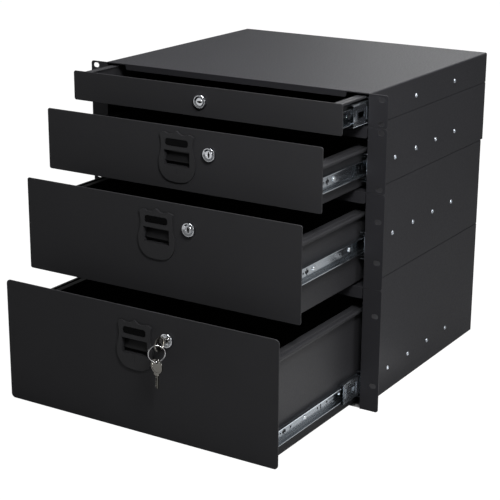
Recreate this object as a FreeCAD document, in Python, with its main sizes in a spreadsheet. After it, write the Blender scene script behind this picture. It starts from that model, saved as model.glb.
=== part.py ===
import FreeCAD, Part
import math
import os
from types import SimpleNamespace
import Sketcher

# A stack of four lockable 19-inch rack drawers, 1U, 2U, 3U and 4U high from the top down.
# Frame: X to the right seen from the front, Y towards the back, Z up.
# Origin: on the centre line, at the bottom of the lowest drawer, on the back face of the
# rack ears, which is the plane of the rack rails. Every drawer stands partly open.

os.makedirs("parts", exist_ok=True)
doc = FreeCAD.newDocument("RackDrawers")

# ---------------------------------------------------------------------------------------
# Driving dimensions, in millimetres and degrees
# ---------------------------------------------------------------------------------------
DIMENSIONS = [
    # rack standard
    ("rack_unit", 44.45),
    ("ear_reach", 26.3),           # 482.6 over both ears
    ("hole_inset", 8.75),          # 465.1 between hole centres
    ("hole_edge_low", 6.35),       # first hole to the unit's end, 1U and 2U
    ("hole_edge_tall", 38.1),      # the same, 3U and 4U
    ("slot_length", 10.0),
    ("slot_width", 7.0),
    # case: one folded sheet with top, sides, ears, header and back
    ("case_width", 430.0),
    ("case_sheet", 1.5),
    ("case_bend", 2.5),
    ("case_depth_deep", 382.0),    # 1U and 2U
    ("case_depth_short", 376.0),   # 3U and 4U
    ("ear_gap", 0.4),
    ("ear_corner", 3.5),
    ("header_drop", 16.0),
    ("header_drop_low", 8.5),      # 1U
    ("header_end_gap", 1.2),
    ("header_end_gap_low", 34.0),
    ("header_corner", 2.0),
    # drawer front
    ("front_overlap", 3.5),
    ("front_overlap_low", 0.1),
    ("front_sheet", 2.0),
    ("front_edge_gap", 1.5),
    ("front_corner", 3.0),
    ("front_corner_tall", 6.0),
    ("closed_gap", 0.4),
    # drawer tray
    ("tray_sheet", 1.2),
    ("tray_floor", 3.0),
    ("tray_depth", 350.0),
    ("tray_bend", 2.2),
    ("tray_return", 14.0),
    ("tray_return_low", 8.0),
    ("tray_back_gap", 2.0),
    ("tray_top_1u", 4.5),
    ("tray_top_2u", 31.0),
    ("tray_top_3u", 31.0),
    ("tray_top_4u", 35.0),
    ("rim_width", 12.0),
    ("rim_width_low", 6.0),
    ("rim_bend", 5.0),
    ("rim_bend_low", 2.0),
    # telescopic slides
    ("slide_thickness", 12.7),
    ("slide_sheet", 1.2),
    ("slide_bend", 1.9),
    ("slide_length", 350.0),
    ("slide_setback", 2.0),
    ("cabinet_height", 38.0),
    ("cabinet_flange", 9.7),
    ("middle_height", 30.4),
    ("middle_flange", 8.6),
    ("middle_web_gap", 0.7),
    ("drawer_height", 21.6),
    ("drawer_flange", 7.8),
    ("race_depth", 0.35),
    ("race_width", 3.0),
    ("race_floor_width", 1.2),
    ("window_back", 12.0),
    ("window_length", 18.0),
    ("window_width", 8.0),
    ("notch_back", 34.0),
    ("notch_length", 9.0),
    ("notch_width", 4.0),
    ("inner_race_out", 4.6),       # ball rows, out from the tray wall
    ("outer_race_out", 7.6),
    ("cage_sheet", 0.6),
    ("cage_length", 90.0),
    ("cage_width", 4.8),
    ("cage_start", 98.0),
    ("slide_level_1u", 19.1),
    ("slide_level_2u", 32.3),
    ("slide_level_3u", 58.0),
    ("slide_level_4u", 34.9),
    # rivets that hold the slides to the case
    ("rivet_head", 6.0),
    ("rivet_rise", 1.6),
    ("rivet_first", 78.5),
    ("rivet_pitch", 65.0),
    ("rivet_first_low", 138.0),
    ("rivet_pitch_low", 128.0),
    # cam lock
    ("lock_across", 51.2),
    ("lock_drop_2u", 31.0),
    ("lock_drop_3u", 31.5),
    ("lock_drop_4u", 34.0),
    ("bezel_size", 20.0),
    ("bezel_rise", 4.5),
    ("bezel_bevel", 1.2),
    ("barrel_size", 16.0),
    ("barrel_length", 14.0),
    ("lock_fit", 0.2),
    ("plug_size", 11.0),
    ("key_slot_width", 2.4),
    ("key_slot_height", 7.8),
    ("key_slot_depth", 18.0),
    ("tail_size", 7.0),
    ("tail_length", 4.5),
    ("cam_sheet", 2.0),
    ("cam_width", 12.0),
    ("cam_reach", 25.0),
    ("cam_reach_low", 18.0),
    ("cam_crank", 10.0),
    ("cam_knee_in", 9.5),
    ("cam_knee_out", 13.5),
    # finger latch
    ("latch_drop_2u", 6.0),
    ("latch_drop_3u", 11.0),
    ("latch_drop_4u", 16.5),
    ("shield_width", 58.0),
    ("shield_height", 69.0),
    ("shield_rise", 2.5),
    ("scoop_radius", 30.0),
    ("shoulder_drop", 3.6),
    ("shoulder_radius", 12.0),
    ("waist_drop", 9.0),
    ("waist_radius", 60.0),
    ("hip_drop", 45.5),
    ("hip_radius", 40.0),
    ("foot_rise", 2.4),
    ("foot_radius", 64.0),
    # how far across the shield's half width its corners stand
    ("shoulder_share", 0.52),
    ("waist_share", 0.86),
    ("foot_share", 0.6),
    ("label_width", 36.0),
    ("label_height", 9.5),
    ("label_drop", 15.5),
    ("label_depth", 0.5),
    ("pull_width", 41.0),
    ("pull_height", 20.8),
    ("pull_drop", 26.5),
    ("pull_depth", 13.0),
    ("pull_wall", 1.5),
    ("pull_side_wall", 3.0),
    ("case_top_drop", 11.5),
    ("window_gap", 0.4),
    ("paddle_sheet", 2.0),
    ("paddle_barrel", 4.0),
    ("paddle_pin", 2.6),
    ("paddle_pin_fit", 0.25),
    ("paddle_end_gap", 0.5),
    ("paddle_pivot_drop", 3.2),
    ("paddle_pivot_back", 8.0),
    ("paddle_lip_back", 1.6),
    ("paddle_lip_gap", 5.4),
    ("paddle_tail_reach", 7.2),
    ("paddle_tail_sheet", 1.6),
    ("paddle_tail_width", 6.0),
    ("bolt_width", 14.0),
    ("bolt_front", 4.0),
    ("bolt_strap", 1.5),
    ("bolt_gap", 0.4),
    ("bolt_travel_room", 4.0),
    ("bolt_bevel", 2.0),
    ("bolt_header_gap", 0.5),
    ("bolt_window_height", 3.6),
    # the gate in the back of the finger pull, through which the paddle's tail reaches the bolt
    ("gate_drop", 4.5),
    ("gate_rise", 1.6),
    ("gate_side_gap", 0.8),
    # keys
    ("key_sheet", 2.0),
    ("key_bow", 21.0),
    ("key_hole", 5.6),
    ("key_hole_out", 6.4),
    ("key_neck", 3.0),
    ("key_blade_height", 7.0),
    ("key_blade_root", 7.0),
    ("key_blade_length", 22.0),
    ("ring_size", 22.0),
    ("ring_wire", 1.6),
    ("ring_turn", 45.0),
    ("spare_key_turn", 80.0),
    # how far the drawers and their middle slide members stand open
    ("opening_1u", 72.0),
    ("opening_2u", 127.5),
    ("opening_3u", 176.0),
    ("opening_4u", 228.0),
    ("middle_opening_1u", 42.0),
    ("middle_opening_2u", 0.0),
    ("middle_opening_3u", 0.0),
    ("middle_opening_4u", 49.0),
]


class Size:
    """A length with its value and the spreadsheet formula that gives it."""

    def __init__(self, value, text):
        self.value = value
        self.text = text

    def __add__(self, other):
        other = as_size(other)
        return Size(self.value + other.value, f"({self.text} + {other.text})")

    def __sub__(self, other):
        other = as_size(other)
        return Size(self.value - other.value, f"({self.text} - {other.text})")

    def __mul__(self, other):
        other = as_size(other)
        return Size(self.value * other.value, f"({self.text} * {other.text})")

    def __truediv__(self, other):
        other = as_size(other)
        return Size(self.value / other.value, f"({self.text} / {other.text})")

    def __neg__(self):
        return Size(-self.value, f"(0 - {self.text})")


def as_size(number):
    return number if isinstance(number, Size) else Size(float(number), repr(float(number)))


ZERO = as_size(0)
ROUND_SIDES = 20     # small turned parts
PIN_SIDES = 8        # hinge pins and key holes
RIVET_SIDES = 10     # rivet heads and key bows
FACE_TOLERANCE = 0.01

sheet = doc.addObject("Spreadsheet::Sheet", "dims")
for row, (alias, value) in enumerate(DIMENSIONS, start=1):
    sheet.set(f"A{row}", alias)
    sheet.set(f"B{row}", str(value))
    sheet.setAlias(f"B{row}", alias)
doc.recompute()
dim = SimpleNamespace(**{alias: Size(value, f"dims.{alias}") for alias, value in DIMENSIONS})


def named(stem, unit):
    """The dimension of one drawer of the stack, such as opening_2u."""
    return getattr(dim, f"{stem}_{unit.tag}")


# ---------------------------------------------------------------------------------------
# Sketch and feature helpers
# ---------------------------------------------------------------------------------------
def bind(target, path, size):
    target.setExpression(path, size.text)


def new_body(label, up=ZERO, forward=ZERO):
    """A body that stands up from the stack's base and forward of its closed place."""
    body = doc.addObject("PartDesign::Body", label)
    body.Label = label
    body.AllowCompound = True
    body.Placement.Base = FreeCAD.Vector(0, -forward.value, up.value)
    bind(body, "Placement.Base.z", up)
    bind(body, "Placement.Base.y", -forward)
    return body


def new_sketch(body, role, offset=ZERO):
    """A sketch on one of the body's own planes. XZ_Plane looks to the front, along -Y."""
    sketch = body.newObject("Sketcher::SketchObject", f"{body.Name}_sketch")
    plane = next(item for item in body.Origin.OriginFeatures if item.Role == role)
    sketch.AttachmentSupport = [(plane, "")]
    sketch.MapMode = "FlatFace"
    sketch.AttachmentOffset.Base = FreeCAD.Vector(0, 0, offset.value)
    bind(sketch, "AttachmentOffset.Base.z", offset)
    return sketch


def fix_size(sketch, constraint, size):
    index = sketch.addConstraint(constraint)
    bind(sketch, f"Constraints[{index}]", size)


def fix_point(sketch, geometry, end, x, y):
    fix_size(sketch, Sketcher.Constraint("DistanceX", geometry, end, x.value), x)
    fix_size(sketch, Sketcher.Constraint("DistanceY", geometry, end, y.value), y)


def vector(x, y):
    return FreeCAD.Vector(x.value, y.value, 0)


def arc_between(start, end, radius, turn):
    """The arc from start to end; turn is 1 where it runs anticlockwise and -1 clockwise."""
    chord = end - start
    half = chord.Length / 2
    rise = math.sqrt(max(radius * radius - half * half, 0))
    normal = FreeCAD.Vector(-chord.y, chord.x, 0).normalize()
    centre = (start + end) / 2 + normal * rise * turn
    circle = Part.Circle(centre, FreeCAD.Vector(0, 0, 1), radius)
    angles = [math.atan2(p.y - centre.y, p.x - centre.x) for p in (start, end)]
    if turn < 0:
        angles.reverse()
    return Part.ArcOfCircle(circle, angles[0], angles[1])


def closed_path(sketch, steps):
    """A closed path. Each step is a point and how the path goes on from it:
    None for a straight line, or (radius, turn) for an arc."""
    count = len(steps)
    ends = []
    for index, (x, y, arc) in enumerate(steps):
        x_next, y_next = steps[(index + 1) % count][:2]
        start, end = vector(x, y), vector(x_next, y_next)
        if arc is None:
            geometry = sketch.addGeometry(Part.LineSegment(start, end), False)
            ends.append((geometry, 1, 2))
        else:
            radius, turn = arc
            geometry = sketch.addGeometry(arc_between(start, end, radius.value, turn), False)
            ends.append((geometry, 1, 2) if turn > 0 else (geometry, 2, 1))
    for index, (x, y, arc) in enumerate(steps):
        geometry, first, last = ends[index]
        before = ends[index - 1]
        sketch.addConstraint(Sketcher.Constraint("Coincident", before[0], before[2], geometry, first))
        fix_point(sketch, geometry, first, x, y)
        if arc is not None:
            fix_size(sketch, Sketcher.Constraint("Radius", geometry, arc[0].value), arc[0])


def folded_path(sketch, corners):
    """A closed path of level and upright lines, with each corner (x, y, radius) rounded."""
    count = len(corners)
    steps = []
    for index, (x, y, radius) in enumerate(corners):
        if radius is None:
            steps.append((x, y, None))
            continue
        x_in, y_in = corners[index - 1][:2]
        x_out, y_out = corners[(index + 1) % count][:2]
        arrive = vector(x, y) - vector(x_in, y_in)
        leave = vector(x_out, y_out) - vector(x, y)
        arrive.normalize()
        leave.normalize()
        turn = 1 if arrive.x * leave.y - arrive.y * leave.x > 0 else -1
        steps.append((x - radius * arrive.x, y - radius * arrive.y, (radius, turn)))
        steps.append((x + radius * leave.x, y + radius * leave.y, None))
    closed_path(sketch, steps)


def rectangle(sketch, left, right, low, high, radius=None):
    folded_path(sketch, [(left, low, radius), (right, low, radius),
                         (right, high, radius), (left, high, radius)])


def polygon(sketch, x, y, radius, sides=ROUND_SIDES):
    """A regular outline for small round parts, with its corners on the given radius."""
    corners = []
    for index in range(sides):
        angle = 2 * math.pi * (index + 0.5) / sides
        corners.append((x + radius * round(math.cos(angle), 6), y + radius * round(math.sin(angle), 6), None))
    folded_path(sketch, corners)


def slot(sketch, x, y, length, width):
    """A level slot with round ends, centred on x and y."""
    radius = width / 2
    reach = (length - width) / 2
    axis = FreeCAD.Vector(0, 0, 1)
    quarter = math.pi / 2
    left_end = Part.ArcOfCircle(Part.Circle(vector(x - reach, y), axis, radius.value), quarter, 3 * quarter)
    right_end = Part.ArcOfCircle(Part.Circle(vector(x + reach, y), axis, radius.value), -quarter, quarter)
    left = sketch.addGeometry(left_end, False)
    right = sketch.addGeometry(right_end, False)
    low_edge = Part.LineSegment(vector(x - reach, y - radius), vector(x + reach, y - radius))
    high_edge = Part.LineSegment(vector(x + reach, y + radius), vector(x - reach, y + radius))
    low = sketch.addGeometry(low_edge, False)
    high = sketch.addGeometry(high_edge, False)
    for one, one_end, other, other_end in ((left, 2, low, 1), (low, 2, right, 1),
                                           (right, 2, high, 1), (high, 2, left, 1)):
        sketch.addConstraint(Sketcher.Constraint("Tangent", one, one_end, other, other_end))
    fix_point(sketch, left, 3, x - reach, y)
    fix_point(sketch, right, 3, x + reach, y)
    fix_size(sketch, Sketcher.Constraint("Radius", left, radius.value), radius)
    sketch.addConstraint(Sketcher.Constraint("Equal", left, right))


def pad(body, sketch, length, back=True):
    """Adds the sketch's shape. On an XZ sketch it grows to the back, or to the front."""
    feature = body.newObject("PartDesign::Pad", f"{body.Name}_pad")
    feature.Profile = sketch
    feature.Reversed = back
    feature.Length = length.value
    bind(feature, "Length", length)
    return feature


def pocket(body, sketch, length, back=True):
    """Cuts the sketch's shape. On an XZ sketch it cuts to the back, or to the front."""
    feature = body.newObject("PartDesign::Pocket", f"{body.Name}_pocket")
    feature.Profile = sketch
    feature.Reversed = not back
    feature.Length = length.value
    bind(feature, "Length", length)
    return feature


def chamfer_front(body, feature, face, size):
    """Bevels every edge that lies in the plane of a feature's front face."""
    doc.recompute()
    rim = []
    for number, edge in enumerate(feature.Shape.Edges, start=1):
        box = edge.BoundBox
        if max(abs(box.YMin + face.value), abs(box.YMax + face.value)) < FACE_TOLERANCE:
            rim.append(f"Edge{number}")
    bevel = body.newObject("PartDesign::Chamfer", f"{body.Name}_bevel")
    bevel.Base = (feature, rim)
    bevel.Size = size.value
    bind(bevel, "Size", size)
    return bevel


# ---------------------------------------------------------------------------------------
# Shared places
# ---------------------------------------------------------------------------------------
UNITS = [SimpleNamespace(tag="4u", height=4, below=0), SimpleNamespace(tag="3u", height=3, below=4),
         SimpleNamespace(tag="2u", height=2, below=7), SimpleNamespace(tag="1u", height=1, below=9)]
SIDES = (1, -1)

half_case = dim.case_width / 2
case_inside = half_case - dim.case_sheet
tray_wall = case_inside - dim.slide_thickness
front_back = dim.case_sheet + dim.closed_gap          # back face of a closed drawer front
front_face = front_back + dim.front_sheet

middle_web = case_inside - dim.slide_sheet - dim.middle_web_gap
inner_gap_middle = (dim.middle_height / 2 - dim.slide_sheet + dim.drawer_height / 2) / 2
outer_gap_middle = (dim.cabinet_height / 2 - dim.slide_sheet + dim.middle_height / 2) / 2


def is_low(unit):
    return unit.height == 1


def place_unit(unit):
    """The sizes and places that depend on which drawer of the stack it is."""
    low = is_low(unit)
    tall = unit.height > 2
    unit.base = dim.rack_unit * unit.below
    unit.top = dim.rack_unit * unit.height
    unit.depth = dim.case_depth_short if tall else dim.case_depth_deep
    unit.hole_edge = dim.hole_edge_tall if tall else dim.hole_edge_low
    unit.header_drop = dim.header_drop_low if low else dim.header_drop
    unit.header_end = dim.header_end_gap_low if low else dim.header_end_gap
    unit.front_half = half_case + (dim.front_overlap_low if low else dim.front_overlap)
    unit.front_corner = dim.front_corner_tall if unit.height == 4 else dim.front_corner
    unit.front_top = unit.top - dim.front_edge_gap
    unit.tray_top = unit.top - named("tray_top", unit)
    unit.rim_width = dim.rim_width_low if low else dim.rim_width
    unit.rim_bend = dim.rim_bend_low if low else dim.rim_bend
    unit.slide_level = named("slide_level", unit)
    unit.opening = named("opening", unit)
    unit.middle_opening = named("middle_opening", unit)
    unit.lock_across = ZERO if low else dim.lock_across
    unit.lock_level = unit.top / 2 if low else unit.front_top - named("lock_drop", unit)
    unit.cam_reach = dim.cam_reach_low if low else dim.cam_reach
    if not low:
        unit.shield_top = unit.front_top - named("latch_drop", unit)
        unit.pull_top = unit.shield_top - dim.pull_drop
        unit.pivot_level = unit.pull_top - dim.paddle_pivot_drop


# ---------------------------------------------------------------------------------------
# Case: sheet steel folded to top, sides, outward ears, header and back
# ---------------------------------------------------------------------------------------
def build_case(unit):
    body = new_body(f"case_{unit.tag}", unit.base)
    sheet_in = dim.case_sheet

    section = new_sketch(body, "XZ_Plane", dim.case_sheet)
    folded_path(section, [
        (-half_case, ZERO, None), (-half_case, unit.top, dim.case_bend),
        (half_case, unit.top, dim.case_bend), (half_case, ZERO, None),
        (case_inside, ZERO, None), (case_inside, unit.top - sheet_in, None),
        (-case_inside, unit.top - sheet_in, None), (-case_inside, ZERO, None)])
    pad(body, section, unit.depth + dim.case_sheet)

    ears = new_sketch(body, "XZ_Plane", dim.case_sheet)
    tip = half_case + dim.ear_reach
    for side in SIDES:
        folded_path(ears, [
            (case_inside * side, dim.ear_gap, None), (tip * side, dim.ear_gap, dim.ear_corner),
            (tip * side, unit.top - dim.ear_gap, dim.ear_corner),
            (case_inside * side, unit.top - dim.ear_gap, None)])
    pad(body, ears, dim.case_sheet)

    slots = new_sketch(body, "XZ_Plane", dim.case_sheet)
    for side in SIDES:
        for level in (unit.hole_edge, unit.top - unit.hole_edge):
            slot(slots, (tip - dim.hole_inset) * side, level, dim.slot_length, dim.slot_width)
    pocket(body, slots, dim.case_sheet)

    header = new_sketch(body, "XZ_Plane", dim.case_sheet)
    header_half = case_inside - unit.header_end
    header_low = unit.top - unit.header_drop
    under_top = unit.top - dim.case_sheet / 2
    snip = dim.header_corner
    closed_path(header, [
        (-header_half, header_low + snip, None), (-header_half + snip, header_low, None),
        (header_half - snip, header_low, None), (header_half, header_low + snip, None),
        (header_half, under_top, None), (-header_half, under_top, None)])
    pad(body, header, dim.case_sheet)

    back = new_sketch(body, "XZ_Plane", dim.case_sheet - unit.depth)
    rectangle(back, -case_inside - dim.case_sheet / 2, case_inside + dim.case_sheet / 2,
              ZERO, unit.top - dim.case_sheet / 2)
    pad(body, back, dim.case_sheet)
    return body


# ---------------------------------------------------------------------------------------
# Rivets: one head for each point where a slide is held to the case
# ---------------------------------------------------------------------------------------
def rivet_places():
    for unit in UNITS:
        first, pitch, count = (dim.rivet_first, dim.rivet_pitch, 4)
        if is_low(unit):
            first, pitch, count = (dim.rivet_first_low, dim.rivet_pitch_low, 2)
        for index in range(count):
            yield first + pitch * index, unit.base + unit.slide_level


def build_rivets():
    heads = []
    for side in SIDES:
        for back, up in rivet_places():
            head = doc.addObject("Part::Prism", "rivet_head")
            head.Polygon = RIVET_SIDES
            bind(head, "Circumradius", dim.rivet_head / 2)
            bind(head, "Height", dim.rivet_rise)
            head.Placement = FreeCAD.Placement(FreeCAD.Vector(half_case.value * side, back.value, up.value),
                                               FreeCAD.Rotation(FreeCAD.Vector(0, 1, 0), 90 * side))
            bind(head, "Placement.Base.x", half_case * side)
            bind(head, "Placement.Base.y", back)
            bind(head, "Placement.Base.z", up)
            heads.append(head)
    group = doc.addObject("Part::Compound", "slide_rivets")
    group.Label = "slide_rivets"
    group.Links = heads
    return group


# ---------------------------------------------------------------------------------------
# Slides: three rolled steel channels on each side, with ball races between them
# ---------------------------------------------------------------------------------------
def channel(sketch, side, web, lip, level, height, inside_race, outside_race):
    """A rolled channel section with its web at web and its flanges reaching to lip. The balls
    run in shallow races rolled into the flanges, which are given by their place across."""
    inward = 1 if lip.value > web.value else -1
    sheet_in = dim.slide_sheet * inward
    bend = dim.slide_bend * inward
    turn_in = (dim.slide_bend - dim.slide_sheet) * inward
    half = dim.race_width / 2 * inward
    floor = dim.race_floor_width / 2 * inward
    depth = dim.race_depth
    for flip in (1, -1):
        edge = level + height / 2 * flip
        under = edge - dim.slide_sheet * flip
        outer = [(web, edge - dim.slide_bend * flip), (web + bend, edge)]
        if outside_race is not None:
            outer += [(outside_race - half, edge), (outside_race - floor, edge - depth * flip),
                      (outside_race + floor, edge - depth * flip), (outside_race + half, edge)]
        inner = []
        if inside_race is not None:
            inner = [(inside_race + half, under), (inside_race + floor, under + depth * flip),
                     (inside_race - floor, under + depth * flip), (inside_race - half, under)]
        outline = outer + [(lip, edge), (lip, under)] + inner
        bend_end = under - (dim.slide_bend - dim.slide_sheet) * flip
        outline += [(web + sheet_in + turn_in, under), (web + sheet_in, bend_end)]
        if flip == 1:
            upper = outline
        else:
            outline.reverse()
            closed_path(sketch, [(x * side, y, None) for x, y in upper + outline])


def build_slide_member(name, unit, forward, web, lip, height, front, inside_race, outside_race, window):
    body = new_body(f"{name}_{unit.tag}", unit.base, forward)
    section = new_sketch(body, "XZ_Plane", -front)
    for side in SIDES:
        channel(section, side, web, lip, unit.slide_level, height, inside_race, outside_race)
    pad(body, section, dim.slide_length)
    if window:
        back, length, width = window
        cut = new_sketch(body, "YZ_Plane", -half_case)
        rectangle(cut, front + back, front + back + length,
                  unit.slide_level - width / 2, unit.slide_level + width / 2)
        pocket(body, cut, dim.case_width, back=False)
    return body


def build_slides(unit):
    inner, outer = tray_wall + dim.inner_race_out, tray_wall + dim.outer_race_out
    cabinet = build_slide_member(
        "cabinet_members", unit, ZERO, case_inside, case_inside - dim.cabinet_flange,
        dim.cabinet_height, dim.slide_setback, outer, None, None)
    middle = build_slide_member(
        "middle_members", unit, unit.middle_opening, middle_web, middle_web - dim.middle_flange,
        dim.middle_height, dim.slide_setback + dim.case_sheet, inner, outer,
        (dim.window_back, dim.window_length, dim.window_width))
    drawer = build_slide_member(
        "drawer_members", unit, unit.opening, tray_wall, tray_wall + dim.drawer_flange,
        dim.drawer_height, dim.closed_gap, None, inner,
        (dim.notch_back, dim.notch_length, dim.notch_width))
    return [cabinet, middle, drawer]


def build_outer_cages(unit):
    """Ball cages between the cabinet and middle members, one strip above and one below."""
    body = new_body(f"outer_ball_cages_{unit.tag}", unit.base, unit.middle_opening / 2)
    strips = new_sketch(body, "XZ_Plane", -dim.cage_start)
    race = tray_wall + dim.outer_race_out
    reach = dim.cage_width / 2
    for side in SIDES:
        for level in (unit.slide_level - outer_gap_middle, unit.slide_level + outer_gap_middle):
            rectangle(strips, (race - reach) * side, (race + reach) * side,
                      level - dim.cage_sheet / 2, level + dim.cage_sheet / 2)
    pad(body, strips, dim.cage_length)
    return body


def build_inner_cages(unit):
    """Ball cages between the middle and drawer members: a thin channel around the drawer member."""
    forward = unit.middle_opening + (unit.opening - unit.middle_opening) / 2
    body = new_body(f"inner_ball_cages_{unit.tag}", unit.base, forward)
    section = new_sketch(body, "XZ_Plane", -dim.cage_start)
    web = (middle_web - dim.slide_sheet + tray_wall + dim.drawer_flange) / 2 + dim.cage_sheet / 2
    lip = tray_wall + dim.inner_race_out - dim.race_width / 2
    level = unit.slide_level
    for side in SIDES:
        high = level + inner_gap_middle + dim.cage_sheet / 2
        low = level - inner_gap_middle - dim.cage_sheet / 2
        corners = [(web, low), (web, high), (lip, high), (lip, high - dim.cage_sheet),
                   (web - dim.cage_sheet, high - dim.cage_sheet), (web - dim.cage_sheet, low + dim.cage_sheet),
                   (lip, low + dim.cage_sheet), (lip, low)]
        folded_path(section, [(x * side, y, None) for x, y in corners])
    pad(body, section, dim.cage_length)
    return body


# ---------------------------------------------------------------------------------------
# Drawer: tray of folded sheet and the flat front that is screwed to it
# ---------------------------------------------------------------------------------------
def build_tray(unit):
    body = new_body(f"tray_{unit.tag}", unit.base, unit.opening)
    wall = tray_wall
    inside = wall - dim.tray_sheet
    floor = dim.tray_floor
    rim = wall - unit.rim_width
    top = unit.tray_top
    section = new_sketch(body, "XZ_Plane", front_back)
    snip = dim.tray_bend
    closed_path(section, [
        (rim, top, None), (rim, top - dim.tray_sheet, None),
        (inside - unit.rim_bend + dim.tray_sheet, top - dim.tray_sheet, (unit.rim_bend - dim.tray_sheet, -1)),
        (inside, top - unit.rim_bend, None),
        (inside, floor + dim.tray_sheet, None), (-inside, floor + dim.tray_sheet, None),
        (-inside, top - unit.rim_bend, (unit.rim_bend - dim.tray_sheet, -1)),
        (-inside + unit.rim_bend - dim.tray_sheet, top - dim.tray_sheet, None),
        (-rim, top - dim.tray_sheet, None), (-rim, top, None),
        (-wall + unit.rim_bend, top, (unit.rim_bend, 1)), (-wall, top - unit.rim_bend, None),
        (-wall, floor + snip, None), (-wall + snip, floor, None),
        (wall - snip, floor, None), (wall, floor + snip, None),
        (wall, top - unit.rim_bend, (unit.rim_bend, 1)), (wall - unit.rim_bend, top, None)])
    pad(body, section, dim.tray_depth)

    shoulder = top - unit.rim_bend
    back = new_sketch(body, "XZ_Plane", front_back - dim.tray_depth + dim.tray_sheet)
    back_top = unit.top - unit.header_drop - dim.tray_back_gap if is_low(unit) else shoulder
    rectangle(back, -inside, inside, floor + dim.tray_sheet, back_top)
    pad(body, back, dim.tray_sheet)

    returns = new_sketch(body, "XZ_Plane", front_back)
    turned_up = floor + (dim.tray_return_low if is_low(unit) else dim.tray_return)
    folded_path(returns, [
        (-inside, floor + dim.tray_sheet, None), (inside, floor + dim.tray_sheet, None),
        (inside, shoulder, None), (inside - dim.tray_return, shoulder, None),
        (inside - dim.tray_return, turned_up, None), (-inside + dim.tray_return, turned_up, None),
        (-inside + dim.tray_return, shoulder, None), (-inside, shoulder, None)])
    pad(body, returns, dim.tray_sheet)
    return body


def build_front(unit):
    body = new_body(f"front_{unit.tag}", unit.base, unit.opening)
    plate = new_sketch(body, "XZ_Plane", front_back)
    rectangle(plate, -unit.front_half, unit.front_half, dim.front_edge_gap, unit.front_top, unit.front_corner)
    pad(body, plate, dim.front_sheet, back=False)
    holes = new_sketch(body, "XZ_Plane", front_face)
    polygon(holes, unit.lock_across, unit.lock_level, dim.barrel_size / 2 + dim.window_gap)
    if not is_low(unit):
        half = dim.pull_width / 2 + dim.pull_side_wall + dim.window_gap
        rectangle(holes, -half, half, unit.pull_top - dim.pull_height - dim.pull_wall - dim.window_gap,
                  unit.shield_top - dim.case_top_drop + dim.window_gap)
    pocket(body, holes, dim.front_sheet)
    return body


# ---------------------------------------------------------------------------------------
# Cam lock: bezel and barrel, turning plug, cranked cam
# ---------------------------------------------------------------------------------------
def build_lock(unit):
    across, level = unit.lock_across, unit.lock_level
    shell = new_body(f"lock_barrel_{unit.tag}", unit.base, unit.opening)
    bezel = new_sketch(shell, "XZ_Plane", front_face)
    polygon(bezel, across, level, dim.bezel_size / 2)
    chamfer_front(shell, pad(shell, bezel, dim.bezel_rise, back=False), front_face + dim.bezel_rise,
                  dim.bezel_bevel)
    thread = new_sketch(shell, "XZ_Plane", front_face)
    polygon(thread, across, level, dim.barrel_size / 2)
    pad(shell, thread, dim.front_sheet + dim.barrel_length)
    bore = new_sketch(shell, "XZ_Plane", front_face + dim.bezel_rise)
    polygon(bore, across, level, dim.plug_size / 2 + dim.lock_fit)
    pocket(shell, bore, dim.bezel_rise + dim.front_sheet + dim.barrel_length)

    plug = new_body(f"lock_plug_{unit.tag}", unit.base, unit.opening)
    core = new_sketch(plug, "XZ_Plane", front_face + dim.bezel_rise)
    polygon(core, across, level, dim.plug_size / 2)
    pad(plug, core, dim.bezel_rise + dim.front_sheet + dim.barrel_length)
    tail = new_sketch(plug, "XZ_Plane", front_back - dim.barrel_length)
    rectangle(tail, across - dim.tail_size / 2, across + dim.tail_size / 2,
              level - dim.tail_size / 2, level + dim.tail_size / 2)
    pad(plug, tail, dim.tail_length)
    keyway = new_sketch(plug, "XZ_Plane", front_face + dim.bezel_rise)
    rectangle(keyway, across - dim.key_slot_width / 2, across + dim.key_slot_width / 2,
              level - dim.key_slot_height / 2, level + dim.key_slot_height / 2)
    pocket(plug, keyway, dim.key_slot_depth)

    cam = new_body(f"lock_cam_{unit.tag}", unit.base, unit.opening)
    hub_front = dim.barrel_length - front_back + dim.window_gap
    hub_back = hub_front + dim.cam_sheet
    heel = across - dim.cam_width / 2
    side_view = new_sketch(cam, "XY_Plane", level - dim.cam_width / 2)
    closed_path(side_view, [
        (heel, hub_front, None), (across + dim.cam_knee_in, hub_front, None),
        (across + dim.cam_knee_out, hub_front - dim.cam_crank, None),
        (across + unit.cam_reach, hub_front - dim.cam_crank, None),
        (across + unit.cam_reach, hub_back - dim.cam_crank, None),
        (across + dim.cam_knee_out + dim.cam_sheet, hub_back - dim.cam_crank, None),
        (across + dim.cam_knee_in + dim.cam_sheet, hub_back, None), (heel, hub_back, None)])
    pad(cam, side_view, dim.cam_width, back=False)
    socket = new_sketch(cam, "XZ_Plane", -hub_front)
    reach = dim.tail_size / 2 + dim.lock_fit
    rectangle(socket, across - reach, across + reach, level - reach, level + reach)
    pocket(cam, socket, dim.cam_sheet)
    return [shell, plug, cam]


# ---------------------------------------------------------------------------------------
# Finger latch: moulded shield with a finger pull, sprung paddle, bolt
# ---------------------------------------------------------------------------------------
def shield_path(sketch, top):
    """The shield's outline: a peak, two scooped shoulders, a waist and a full, rounded foot."""
    half = dim.shield_width / 2
    right = [
        (ZERO, top, (dim.scoop_radius, 1)),
        (half * dim.shoulder_share, top - dim.shoulder_drop, (dim.shoulder_radius, -1)),
        (half * dim.waist_share, top - dim.waist_drop, (dim.waist_radius, 1)),
        (half, top - dim.hip_drop, (dim.hip_radius, -1)),
        (half * dim.foot_share, top - dim.shield_height + dim.foot_rise, (dim.foot_radius, -1)),
    ]
    steps = list(right)
    for index in range(len(right) - 1, 0, -1):
        x, y = right[index][:2]
        steps.append((-x, y, right[index - 1][2]))
    closed_path(sketch, steps)


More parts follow.
